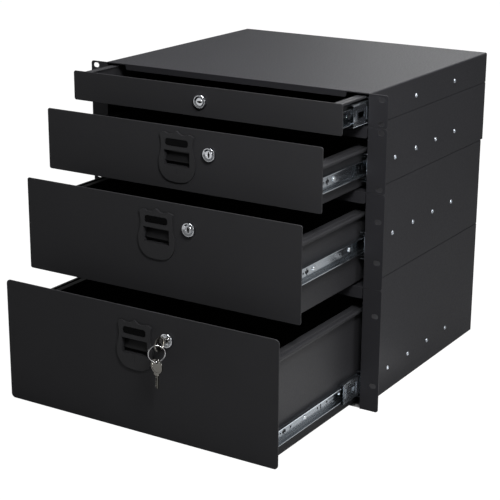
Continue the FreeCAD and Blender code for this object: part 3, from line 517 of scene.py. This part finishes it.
def round_cutter(x, y, z, radius, sides=16):
    """A round punch that lies along X, to go through a side wall at one place."""
    bpy.ops.object.select_all(action="DESELECT")
    bpy.ops.mesh.primitive_cylinder_add(vertices=sides, radius=radius, depth=0.006,
                                        rotation=(0, math.pi / 2, 0), location=(x, y, z))
    bpy.ops.object.transform_apply(location=True, rotation=True, scale=True)
    return bpy.context.object


pan_head = turned("pan_head_master", 3.4 * MM, 0.8 * MM, 24, 0.0)
bpy.ops.object.mode_set(mode="EDIT")
pick_faces(pan_head, front_only)
step_front(-0.9 * MM, 0.72)
bpy.ops.object.mode_set(mode="OBJECT")
cross = [block((-1.7 * MM, -2.4 * MM, -0.35 * MM), (1.7 * MM, -0.9 * MM, 0.35 * MM)),
         block((-0.35 * MM, -2.4 * MM, -1.7 * MM), (0.35 * MM, -0.9 * MM, 1.7 * MM))]
punch(pan_head, cross)
soften(pan_head, 0.15 * MM, 2, 25)

for unit in UNITS:
    level = slide_level(unit)
    inner_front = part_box(f"drawer_members_{unit}")[0].y
    channel = worked_copy(f"drawer_members_{unit}", f"inner_channels_{unit}")
    tools = []
    screws = []
    for side in (1, -1):
        x = side * (TRAY_WALL + STRIP_HALF)
        for group in range(GROUPS):
            y = inner_front + GROUP_START + GROUP_PITCH * group
            tools.append(round_cutter(x, y - 1.5 * MM, level, PILOT_RADIUS))
            tools.append(block((x - PUNCH_REACH, y + 6.2 * MM, level - SLOT_HALF_HEIGHT),
                               (x + PUNCH_REACH, y + 8.8 * MM, level + SLOT_HALF_HEIGHT)))
            if unit in ("1u", "4u"):
                tools.append(round_cutter(x, y + 24 * MM, level, TRIANGLE_RADIUS, 3))
            spot = (side * (TRAY_WALL + SCREW_HEAD_AT), y + SCREW_BEHIND[unit], level)
            screws.append(placed_copy(pan_head, f"slide_screw_{unit}_{side}_{group}",
                                      Matrix.Translation(spot) @ facing_out(side)))
    punch(channel, tools)
    soften(channel, CHANNEL_ROUND, 2, 32)
    settle(channel, slide_zinc, f"drawer_{unit}", "zinc", f"drawer_members_{unit}")
    settle(join_as(screws, f"tray_screws_{unit}"), screw_steel, f"drawer_{unit}", "zinc")

    middle_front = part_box(f"middle_members_{unit}")[0].y
    channel = worked_copy(f"middle_members_{unit}", f"middle_channels_{unit}")
    tools = []
    for side in (1, -1):
        x = side * MIDDLE_WEB
        for front, back, low, high in STAMPED_LINES:
            tools.append(block((x - STAMP_DEPTH, middle_front + front * MM, level + low * MM),
                               (x + STAMP_DEPTH, middle_front + back * MM, level + high * MM)))
        for y in MIDDLE_HOLES:
            tools.append(round_cutter(x, middle_front + y * MM, level, MIDDLE_HOLE_RADIUS))
    punch(channel, tools)
    soften(channel, CHANNEL_ROUND, 2, 32)
    settle(channel, slide_zinc, f"middle_{unit}", "zinc", f"middle_members_{unit}")

    channel = worked_copy(f"cabinet_members_{unit}", f"outer_channels_{unit}")
    soften(channel, OUTER_ROUND, 2, 32)
    settle(channel, slide_zinc, "stack", "zinc", f"cabinet_members_{unit}")
bpy.data.objects.remove(pan_head)

# ---------------------------------------------------------------------------------------
# Ball cages: pressed steel strips that carry hardened steel balls between the channels,
# seven to a strip. The balls are ground and polished and roll in the channels' races.
# ---------------------------------------------------------------------------------------
BALL_PITCH = 0.0125
BALLS_IN_STRIP = 7
FIRST_BALL = 7.5 * MM

# How far a cage's balls are from the tray's wall and from the middle of the channel, and
# their radius.
BALLS = {"outer": (0.0076, 0.0165, 1.5 * MM), "inner": (0.0046, 0.0124, 1.75 * MM)}

# Ground and polished steel: small bright points in the dark of the channels.
ball_steel = plated_steel("polished_ball_steel", "#d4d6d9", "#b8bbc0", 0.14, 0.6)


def ground_ball(radius):
    """A ball, rounded from a cut-up block so that its faces are all about one size."""
    ball = block((-radius, -radius, -radius), (radius, radius, radius))
    bpy.ops.object.mode_set(mode="EDIT")
    bpy.ops.mesh.select_all(action="SELECT")
    bpy.ops.mesh.subdivide(number_cuts=3)
    bpy.ops.object.mode_set(mode="OBJECT")
    rounding = ball.modifiers.new("ground_round", "CAST")
    rounding.factor = 1.0
    rounding.use_radius_as_size = False
    rounding.size = radius
    apply_all(ball)
    bpy.ops.object.shade_smooth()
    return ball


for kind, (across, up, radius) in BALLS.items():
    ball = ground_ball(radius)
    for unit in UNITS:
        level = slide_level(unit)
        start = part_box(f"{kind}_ball_cages_{unit}")[0].y + FIRST_BALL
        strip = worked_copy(f"{kind}_ball_cages_{unit}", f"{kind}_cage_strips_{unit}")
        soften(strip, 0.1 * MM, 2, 32)
        settle(strip, slide_zinc, f"{kind}_cages_{unit}", "zinc", f"{kind}_ball_cages_{unit}")
        balls = []
        for side, flip in ((1, 1), (1, -1), (-1, 1), (-1, -1)):
            for index in range(BALLS_IN_STRIP):
                spot = (side * (TRAY_WALL + across), start + index * BALL_PITCH,
                        level + up * flip)
                balls.append(placed_copy(ball, f"{kind}_ball_{unit}_{side}_{flip}_{index}",
                                         Matrix.Translation(spot)))
        settle(join_as(balls, f"{kind}_balls_{unit}"), ball_steel, f"{kind}_cages_{unit}", "zinc")
    bpy.data.objects.remove(ball)

# ---------------------------------------------------------------------------------------
# Locks: cam locks of die-cast zinc with bright chrome plate. A dished bezel and a threaded
# barrel stand in the front plate, held by a thin hexagon nut. The plug turns in their bore,
# and the keyway of a plug that holds no key shows the brass wafers behind it.
# ---------------------------------------------------------------------------------------
BEZEL_RISE = 4.5 * MM
BEZEL_RADIUS = 9.88 * MM
PLUG_RADIUS = 5.43 * MM
BORE_RADIUS = PLUG_RADIUS + 0.06 * MM
DRILL_LENGTH = 30.0 * MM
DRILL_START = -8.0 * MM
BARREL_RADIUS = 7.8 * MM
BARREL_FLAT = 6.7 * MM
CRESTS = 12
CREST_RISE = 0.55 * MM
CREST_NARROWS = 0.925
NUT_RADIUS = 9.7 * MM
NUT_BORE_RADIUS = 7.4 * MM
WAFER_COUNT = 6
WAFER_HALF = 0.9 * MM
WAFER_REACH = 3.8 * MM
WAFER_PITCH = 0.8 * MM

# Chrome plate: a near mirror, white and black by turns. Zinc plate on the cam and the nut: a
# dull grey. The brass wafers are painted nearly black, as painted shade for the depth of the
# keyway: a dark keyway with faint lines.
lock_chrome = plated_steel("chromed_zinc_casting", "#d3d5d8", "#b9bcc1", 0.1, 1.4)
cam_zinc = plated_steel("zinc_plated_cam_steel", "#aeb3b8", "#8b9197", 0.36, 0.8)
wafer_brass_in_painted_shade = plated_steel("wafer_brass_painted_for_keyway_shade", "#2b2822", "#1b1916", 0.45, 0.5)


def bored(piece, radius):
    """Drills a piece right through along Y, round its own axis."""
    punch(piece, [turned("drill", radius, DRILL_LENGTH, 48, DRILL_START)])


# The bezel's rim rises in four steps, and its face dishes in towards the plug in two.
bezel = turned("bezel_master", BEZEL_RADIUS, 1.2 * MM, 64, -1.2 * MM)
bpy.ops.object.mode_set(mode="EDIT")
pick_faces(bezel, front_only)
step_front(-1.9 * MM, 1.0)
step_front(-0.9 * MM, 0.955)
step_front(-0.4 * MM, 0.94)
step_front(-0.1 * MM, 0.96)
bpy.ops.mesh.inset(thickness=0.5 * MM)
step_front(0.6 * MM, 0.9)
step_front(1.2 * MM, 0.76)
bpy.ops.mesh.inset(thickness=0.3 * MM)
step_front(1.6 * MM, 1.0)
bpy.ops.object.mode_set(mode="OBJECT")
bored(bezel, BORE_RADIUS)
bpy.ops.object.shade_smooth_by_angle(angle=math.radians(28))

# The barrel: a flange, ring crests that stand for its thread, a collar and two flats.
barrel = turned("barrel_master", BARREL_RADIUS, 1.0 * MM, 40, 15.0 * MM)
bpy.ops.object.mode_set(mode="EDIT")
pick_faces(barrel, front_only)
for _ in range(CRESTS):
    step_front(-CREST_RISE, CREST_NARROWS)
    step_front(-CREST_RISE, 1 / CREST_NARROWS)
step_front(-1.8 * MM, 1.0)
bpy.ops.object.mode_set(mode="OBJECT")
punch(barrel, [block((-9 * MM, 2.2 * MM, BARREL_FLAT), (9 * MM, 18 * MM, 9 * MM)),
               block((-9 * MM, 2.2 * MM, -9 * MM), (9 * MM, 18 * MM, -BARREL_FLAT))])
bored(barrel, BORE_RADIUS)
bpy.ops.object.shade_smooth_by_angle(angle=math.radians(25))

nut = turned("lock_nut_master", NUT_RADIUS, 2.4 * MM, 6, 2.2 * MM)
bored(nut, NUT_BORE_RADIUS)
soften(nut, 0.4 * MM, 2)

# The plug: a stepped face, and a keyway that is wider in its middle.
plug = turned("plug_master", PLUG_RADIUS, 20.0 * MM, 48, -3.1 * MM)
bpy.ops.object.mode_set(mode="EDIT")
pick_faces(plug, front_only)
bpy.ops.mesh.inset(thickness=0.3 * MM)
step_front(-0.25 * MM, 0.97)
bpy.ops.mesh.inset(thickness=0.9 * MM)
step_front(0.2 * MM, 0.98)
bpy.ops.object.mode_set(mode="OBJECT")
punch(plug, [block((-0.95 * MM, -6 * MM, -3.9 * MM), (0.95 * MM, 9 * MM, 3.9 * MM)),
             block((-1.6 * MM, -6 * MM, -1.9 * MM), (1.6 * MM, 9 * MM, 1.9 * MM))])
soften(plug, 0.12 * MM, 2, 40)

wafers = block((-WAFER_HALF, -2.4 * MM, -WAFER_REACH), (WAFER_HALF, -1.9 * MM, WAFER_REACH))
wafers.name = "wafer_master"
stack_up = wafers.modifiers.new("stack_up", "ARRAY")
stack_up.count = WAFER_COUNT
stack_up.use_relative_offset = False
stack_up.use_constant_offset = True
stack_up.constant_offset_displace = (0, WAFER_PITCH, 0)
apply_all(wafers)
soften(wafers, 0.08 * MM)

bolt_head = turned("cam_bolt_master", 4.2 * MM, 2.6 * MM, 6, 18.4 * MM)
bpy.ops.object.mode_set(mode="EDIT")
pick_faces(bolt_head, lambda centre, normal: normal.y > 0.9)
bpy.ops.mesh.inset(thickness=0.7 * MM)
bpy.ops.mesh.extrude_region_move(TRANSFORM_OT_translate={"value": (0, 0.3 * MM, 0)})
bpy.ops.object.mode_set(mode="OBJECT")
soften(bolt_head, 0.2 * MM, 2)

for unit in UNITS:
    low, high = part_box(f"lock_barrel_{unit}")
    place = Matrix.Translation(((low.x + high.x) / 2, low.y + BEZEL_RISE, (low.z + high.z) / 2))
    shell = join_as([placed_copy(bezel, f"bezel_{unit}", place),
                     placed_copy(barrel, f"barrel_{unit}", place)], f"lock_shell_{unit}")
    settle(shell, lock_chrome, f"drawer_{unit}", "lock_chrome", f"lock_barrel_{unit}")
    settle(placed_copy(nut, f"lock_nut_{unit}", place), cam_zinc, f"drawer_{unit}", "zinc")
    plug_turn = Matrix.Rotation(math.radians(90 if unit == "1u" else 0), 4, "Y")
    settle(placed_copy(plug, f"lock_core_{unit}", place @ plug_turn), lock_chrome, f"lock_{unit}",
           "lock_chrome", f"lock_plug_{unit}")
    if unit != "4u":
        # The wafers behind an empty keyway, in brass painted dark as painted shade.
        settle(placed_copy(wafers, f"wafer_stack_{unit}", place @ plug_turn), wafer_brass_in_painted_shade,
               f"lock_{unit}", "zinc")
    cam = worked_copy(f"lock_cam_{unit}", f"cam_blade_{unit}")
    soften(cam, 0.35 * MM)
    settle(cam, cam_zinc, f"lock_{unit}", "zinc", f"lock_cam_{unit}")
    settle(placed_copy(bolt_head, f"cam_bolt_{unit}", place), cam_zinc, f"lock_{unit}", "zinc")
for pattern in (bezel, barrel, nut, plug, wafers, bolt_head):
    bpy.data.objects.remove(pattern)

# ---------------------------------------------------------------------------------------
# Latches: a shield with a finger pull, a sprung paddle and a bolt, moulded in black ABS
# with a fine spark-eroded grain. The shield carries a glossy plain label plate.
# ---------------------------------------------------------------------------------------
LABEL_WIDTH = 36.0 * MM
LABEL_HEIGHT = 9.5 * MM
LABEL_DROP = 15.5 * MM
LABEL_CORNER = 3.6 * MM
LABEL_GAP = 0.3 * MM
SHIELD_HALF = 29.0 * MM
SHIELD_HEIGHT = 69.0 * MM
SHIELD_RISE = 2.5 * MM
SHOULDER_ROUND = 6.5 * MM
FOOT_CORNER = 23 * MM
FOOT_RADIUS = 72 * MM
PULL_HALF = 20.5 * MM
PULL_TOP = 26.5 * MM
PULL_HEIGHT = 20.8 * MM
MOULDED_ROUND = 0.3 * MM

# Round hollows in the shield's outline: how far from its middle line each pair's centres
# are, how high they are from its top, and their radius.
TOP_HOLLOW = (11.4 * MM, 8.8 * MM, 13.6 * MM)
SIDE_HOLLOW = (66.5 * MM, -20.0 * MM, 41.6 * MM)


def moulded_plastic(name, colour, shine, roughness, gloss, grain_mm, depth_mm):
    """Moulded plastic. Real spark-eroded grain is 0.1 mm wide and is drawn coarser."""
    material = new_material(name)
    place = add_node(material, "ShaderNodeTexCoord")
    grain = add_node(material, "ShaderNodeTexNoise", {"Scale": 1000 / grain_mm, "Detail": 2.0},
                     {"Vector": (place, "Object")})
    shade = add_node(material, "ShaderNodeMix", {"data_type": "RGBA", 6: linear(colour),
                                                 7: linear(shine)}, {0: (grain, "Fac")})
    skin = add_node(material, "ShaderNodeBump", {"Strength": 0.5, "Distance": depth_mm * MM},
                    {"Height": (grain, "Fac")})
    plastic = add_node(material, "ShaderNodeBsdfPrincipled",
                       {"IOR": 1.53, "Specular IOR Level": gloss, "Roughness": roughness},
                       {"Base Color": (shade, 2), "Normal": (skin, 0)})
    add_node(material, "ShaderNodeOutputMaterial", {}, {"Surface": (plastic, 0)})
    return material


def edges_along_y(piece, test):
    """Selects, in edit mode, the edges that run along Y and whose middle passes a test."""
    bpy.ops.mesh.select_mode(type="EDGE")
    bpy.ops.mesh.select_all(action="DESELECT")
    bpy.ops.object.mode_set(mode="OBJECT")
    for edge in piece.data.edges:
        one, other = [piece.data.vertices[index].co for index in edge.vertices]
        along = Vector((one.x - other.x, one.z - other.z)).length < 0.00001
        edge.select = along and test((one + other) / 2)
    bpy.ops.object.mode_set(mode="EDIT")


def upright_cutter(x, z, radius, sides):
    """A round cutter that lies along Y, to go through the shield from front to back."""
    bpy.ops.object.select_all(action="DESELECT")
    bpy.ops.mesh.primitive_cylinder_add(vertices=sides, radius=radius, depth=0.02,
                                        rotation=(math.pi / 2, 0, 0), location=(x, 0, z))
    bpy.ops.object.transform_apply(location=True, rotation=True, scale=True)
    return bpy.context.object


# Grained ABS on the shield: black with a soft grey sheen. Satin ABS on the paddle and bolt:
# almost black. Gloss vinyl on the label: black with a sharp glint.
shield_abs = moulded_plastic("grained_black_abs", "#222223", "#28282a", 0.42, 0.12, 1.2, 0.05)
paddle_abs = moulded_plastic("satin_black_abs", "#111112", "#161617", 0.36, 0.08, 2.5, 0.02)
label_vinyl = moulded_plastic("gloss_black_label", "#030303", "#050506", 0.2, 0.03, 6.0, 0.002)

label = block((-LABEL_WIDTH / 2, 0.1 * MM, -LABEL_HEIGHT / 2),
              (LABEL_WIDTH / 2, 0.5 * MM, LABEL_HEIGHT / 2))
label.name = "label_master"
bpy.ops.object.mode_set(mode="EDIT")
edges_along_y(label, lambda middle: True)
bpy.ops.mesh.bevel(offset=LABEL_CORNER, segments=8)
pick_faces(label, front_only)
bpy.ops.mesh.inset(thickness=0.5 * MM)
bpy.ops.transform.translate(value=(0, -0.08 * MM, 0))
bpy.ops.object.mode_set(mode="OBJECT")
soften(label, 0.08 * MM, 2, 40)

# The shield: a plate with a low ridge at its top, hollowed at the top and the sides, rounded
# at the foot, and cut for the finger pull, the label and a short pressed line.
badge = block((-SHIELD_HALF, 0, -SHIELD_HEIGHT), (SHIELD_HALF, SHIELD_RISE, 0))
badge.name = "badge_master"
bpy.ops.object.mode_set(mode="EDIT")
for side in (1, -1):
    bpy.ops.mesh.select_all(action="SELECT")
    bpy.ops.mesh.bisect(plane_co=(0, 0, 0), plane_no=(0.15 * side, 0, 0.99), use_fill=True,
                        clear_outer=True)
edges_along_y(badge, lambda middle: abs(middle.x) > 28 * MM and middle.z > -10 * MM)
bpy.ops.mesh.bevel(offset=SHOULDER_ROUND, segments=8)
edges_along_y(badge, lambda middle: abs(middle.x) > 28 * MM and middle.z < -60 * MM)
bpy.ops.mesh.bevel(offset=FOOT_CORNER, segments=18)
bpy.ops.object.mode_set(mode="OBJECT")
for (x, z, radius), sides in ((TOP_HOLLOW, 72), (SIDE_HOLLOW, 160)):
    punch(badge, [upright_cutter(side * x, z, radius, sides) for side in (1, -1)])
foot = upright_cutter(0, 0, FOOT_RADIUS, 160)
foot.data.transform(Matrix.Translation((0, 0, FOOT_RADIUS - SHIELD_HEIGHT)))
trim = badge.modifiers.new("foot_curve", "BOOLEAN")
trim.operation = "INTERSECT"
trim.solver = "EXACT"
trim.object = foot
apply_all(badge)
bpy.data.objects.remove(foot)
punch(badge, [block((-PULL_HALF, -0.005, -PULL_TOP - PULL_HEIGHT), (PULL_HALF, 0.005, -PULL_TOP))])
recess_half = LABEL_WIDTH / 2 + LABEL_GAP
recess = block((-recess_half, -0.004, -LABEL_DROP - LABEL_HEIGHT / 2 - LABEL_GAP),
               (recess_half, 0.6 * MM, -LABEL_DROP + LABEL_HEIGHT / 2 + LABEL_GAP))
bpy.ops.object.mode_set(mode="EDIT")
edges_along_y(recess, lambda middle: True)
bpy.ops.mesh.bevel(offset=LABEL_CORNER + LABEL_GAP, segments=8)
bpy.ops.object.mode_set(mode="OBJECT")
punch(badge, [recess])
punch(badge, [block((-0.4 * MM, -0.004, -58 * MM), (0.4 * MM, 0.25 * MM, -51 * MM))])
soften(badge, 0.45 * MM, 3, 40)

for unit in UNITS[1:]:
    low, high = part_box(f"latch_shield_{unit}")
    place = Matrix.Translation((0, low.y, high.z))
    housing = worked_copy(f"latch_shield_{unit}", f"pull_housing_{unit}")
    punch(housing, [block((-0.04, low.y - 0.01, low.z - 0.01),
                          (0.04, low.y + SHIELD_RISE, high.z + 0.01))])
    shield = join_as([housing, placed_copy(badge, f"badge_{unit}", place)], f"shield_{unit}")
    select_only(shield)
    bpy.ops.object.shade_smooth_by_angle(angle=math.radians(35))
    settle(shield, shield_abs, f"drawer_{unit}", "latch_plastic", f"latch_shield_{unit}")
    label_place = Matrix.Translation((0, low.y, high.z - LABEL_DROP))
    settle(placed_copy(label, f"label_plate_{unit}", label_place), label_vinyl,
           f"drawer_{unit}", "latch_plastic")
    paddle = worked_copy(f"latch_paddle_{unit}", f"paddle_{unit}")
    soften(paddle, MOULDED_ROUND, 2, 40)
    settle(paddle, paddle_abs, f"paddle_{unit}", "latch_plastic", f"latch_paddle_{unit}")
    bolt = worked_copy(f"latch_bolt_{unit}", f"bolt_{unit}")
    soften(bolt, MOULDED_ROUND, 2, 40)
    settle(bolt, paddle_abs, f"bolt_{unit}", "latch_plastic", f"latch_bolt_{unit}")
bpy.data.objects.remove(badge)
bpy.data.objects.remove(label)

# ---------------------------------------------------------------------------------------
# Keys: two keys stamped from nickel plated brass sheet 2 mm thick, with a raised rim round
# the bow and a cut blade. They hang together on a split ring coiled from spring steel wire.
# ---------------------------------------------------------------------------------------
BOW_RADIUS = 10.0 * MM
BOW_TO_EYE = 6.4 * MM
EYE_RADIUS = 2.8 * MM
EYE_BEHIND = 4.1 * MM
KEY_SHEET = 2.0 * MM
RIM_WIDTH = 1.5 * MM
RIM_RISE = 0.45 * MM
BLADE_SIDE = 0.95 * MM
BLADE_HALF = 2.3
RING_RADIUS = 11.0 * MM
WIRE_RADIUS = 0.55 * MM
COIL_RISE = 1.1 * MM

# Cuts in the blade, in mm: where each starts behind the bow's middle, and how deep it is.
CUTS = ((13.6, 0.9), (16.2, 1.7), (18.8, 0.6), (21.4, 1.4), (24.0, 1.0))
CUT_WIDTH = 1.6

# Worn nickel plate: a warm grey that mirrors softly. Spring wire: a thin bright line.
key_nickel = plated_steel("nickel_plated_brass", "#8f8d88", "#6a6863", 0.2, 1.6)
ring_wire = plated_steel("bright_spring_wire", "#cfcfd0", "#b3b3b5", 0.16, 1.0)

# The key: a round bow with a raised rim and an eye, a stem, and a blade with cuts and grooves.
bpy.ops.object.select_all(action="DESELECT")
bpy.ops.mesh.primitive_cylinder_add(vertices=56, radius=BOW_RADIUS, depth=KEY_SHEET,
                                    rotation=(0, math.pi / 2, 0))
key = bpy.context.object
key.name = "key_master"
bpy.ops.object.transform_apply(location=True, rotation=True, scale=True)
bpy.ops.object.mode_set(mode="EDIT")
for side in (1, -1):
    pick_faces(key, lambda centre, normal: normal.x * side > 0.9)
    bpy.ops.mesh.inset(thickness=RIM_WIDTH)
    bpy.ops.mesh.inset(thickness=0.3 * MM)
    bpy.ops.transform.translate(value=(-RIM_RISE * side, 0, 0))
bpy.ops.object.mode_set(mode="OBJECT")
blade = block((-BLADE_SIDE, 8.6 * MM, -BLADE_HALF * MM),
              (BLADE_SIDE, 30.0 * MM, BLADE_HALF * MM))
stem = block((-KEY_SHEET / 2, 8.2 * MM, -4.4 * MM), (KEY_SHEET / 2, 12.0 * MM, 4.4 * MM))
for part in (blade, stem):
    join = key.modifiers.new("joined", "BOOLEAN")
    join.operation = "UNION"
    join.solver = "EXACT"
    join.object = part
apply_all(key)
for part in (blade, stem):
    bpy.data.objects.remove(part)
notches = [block((-0.002, start * MM, (BLADE_HALF - depth) * MM),
                 (0.002, (start + CUT_WIDTH) * MM, 5 * MM)) for start, depth in CUTS]
grooves = [block((side * BLADE_SIDE - 0.4 * MM, 12.4 * MM, -1.2 * MM),
                 (side * BLADE_SIDE + 0.4 * MM, 31 * MM, -0.2 * MM)) for side in (1, -1)]
point = block((-0.002, 28.9 * MM, 1.0 * MM), (0.002, 32 * MM, 5 * MM))
eye = round_cutter(0, -BOW_TO_EYE, 0, EYE_RADIUS, 28)
punch(key, notches + grooves + [point, eye])
soften(key, 0.15 * MM, 2, 30)

low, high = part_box("lock_key")
eye_place = Vector(((low.x + high.x) / 2, low.y + EYE_BEHIND, (low.z + high.z) / 2))
inserted = Matrix.Translation(eye_place + Vector((0, BOW_TO_EYE, 0)))
settle(placed_copy(key, "inserted_key", inserted), key_nickel, "lock_4u", "key_nickel", "lock_key")
hanging = (Matrix.Translation(eye_place - Vector((0, 0, 2 * RING_RADIUS + BOW_TO_EYE)))
           @ Matrix.Rotation(math.radians(80), 4, "Z")
           @ Matrix.Rotation(math.radians(-90), 4, "X"))
settle(placed_copy(key, "hanging_key", hanging), key_nickel, "spare", "key_nickel", "spare_key")
bpy.data.objects.remove(key)

# The ring: the wire's round section, wound through two turns less 20 degrees and closed.
bpy.ops.object.select_all(action="DESELECT")
bpy.ops.mesh.primitive_circle_add(vertices=12, radius=WIRE_RADIUS, fill_type="NOTHING",
                                  rotation=(math.pi / 2, 0, 0),
                                  location=(RING_RADIUS, 0, -COIL_RISE))
coil = bpy.context.object
coil.name = "split_ring"
bpy.ops.object.transform_apply(location=True, rotation=True, scale=True)
wind = coil.modifiers.new("two_turns", "SCREW")
wind.axis = "Z"
wind.angle = math.radians(350)
wind.iterations = 2
wind.screw_offset = COIL_RISE
wind.steps = 48
wind.render_steps = 48
wind.use_smooth_shade = True
apply_all(coil)
bpy.ops.object.mode_set(mode="EDIT")
bpy.ops.mesh.select_all(action="SELECT")
bpy.ops.mesh.remove_doubles(threshold=0.00001)
bpy.ops.mesh.select_all(action="DESELECT")
bpy.ops.mesh.select_mode(type="EDGE")
bpy.ops.mesh.select_non_manifold()
bpy.ops.mesh.fill_holes(sides=0)
bpy.ops.mesh.select_all(action="SELECT")
bpy.ops.mesh.normals_make_consistent(inside=False)
bpy.ops.object.mode_set(mode="OBJECT")
coil.data.transform(Matrix.Translation(eye_place - Vector((0, 0, RING_RADIUS)))
                    @ Matrix.Rotation(math.radians(45), 4, "Z")
                    @ Matrix.Rotation(math.radians(90), 4, "X")
                    @ Matrix.Rotation(math.radians(90), 4, "Z"))
settle(coil, ring_wire, "ring", "ring_steel", "key_ring")
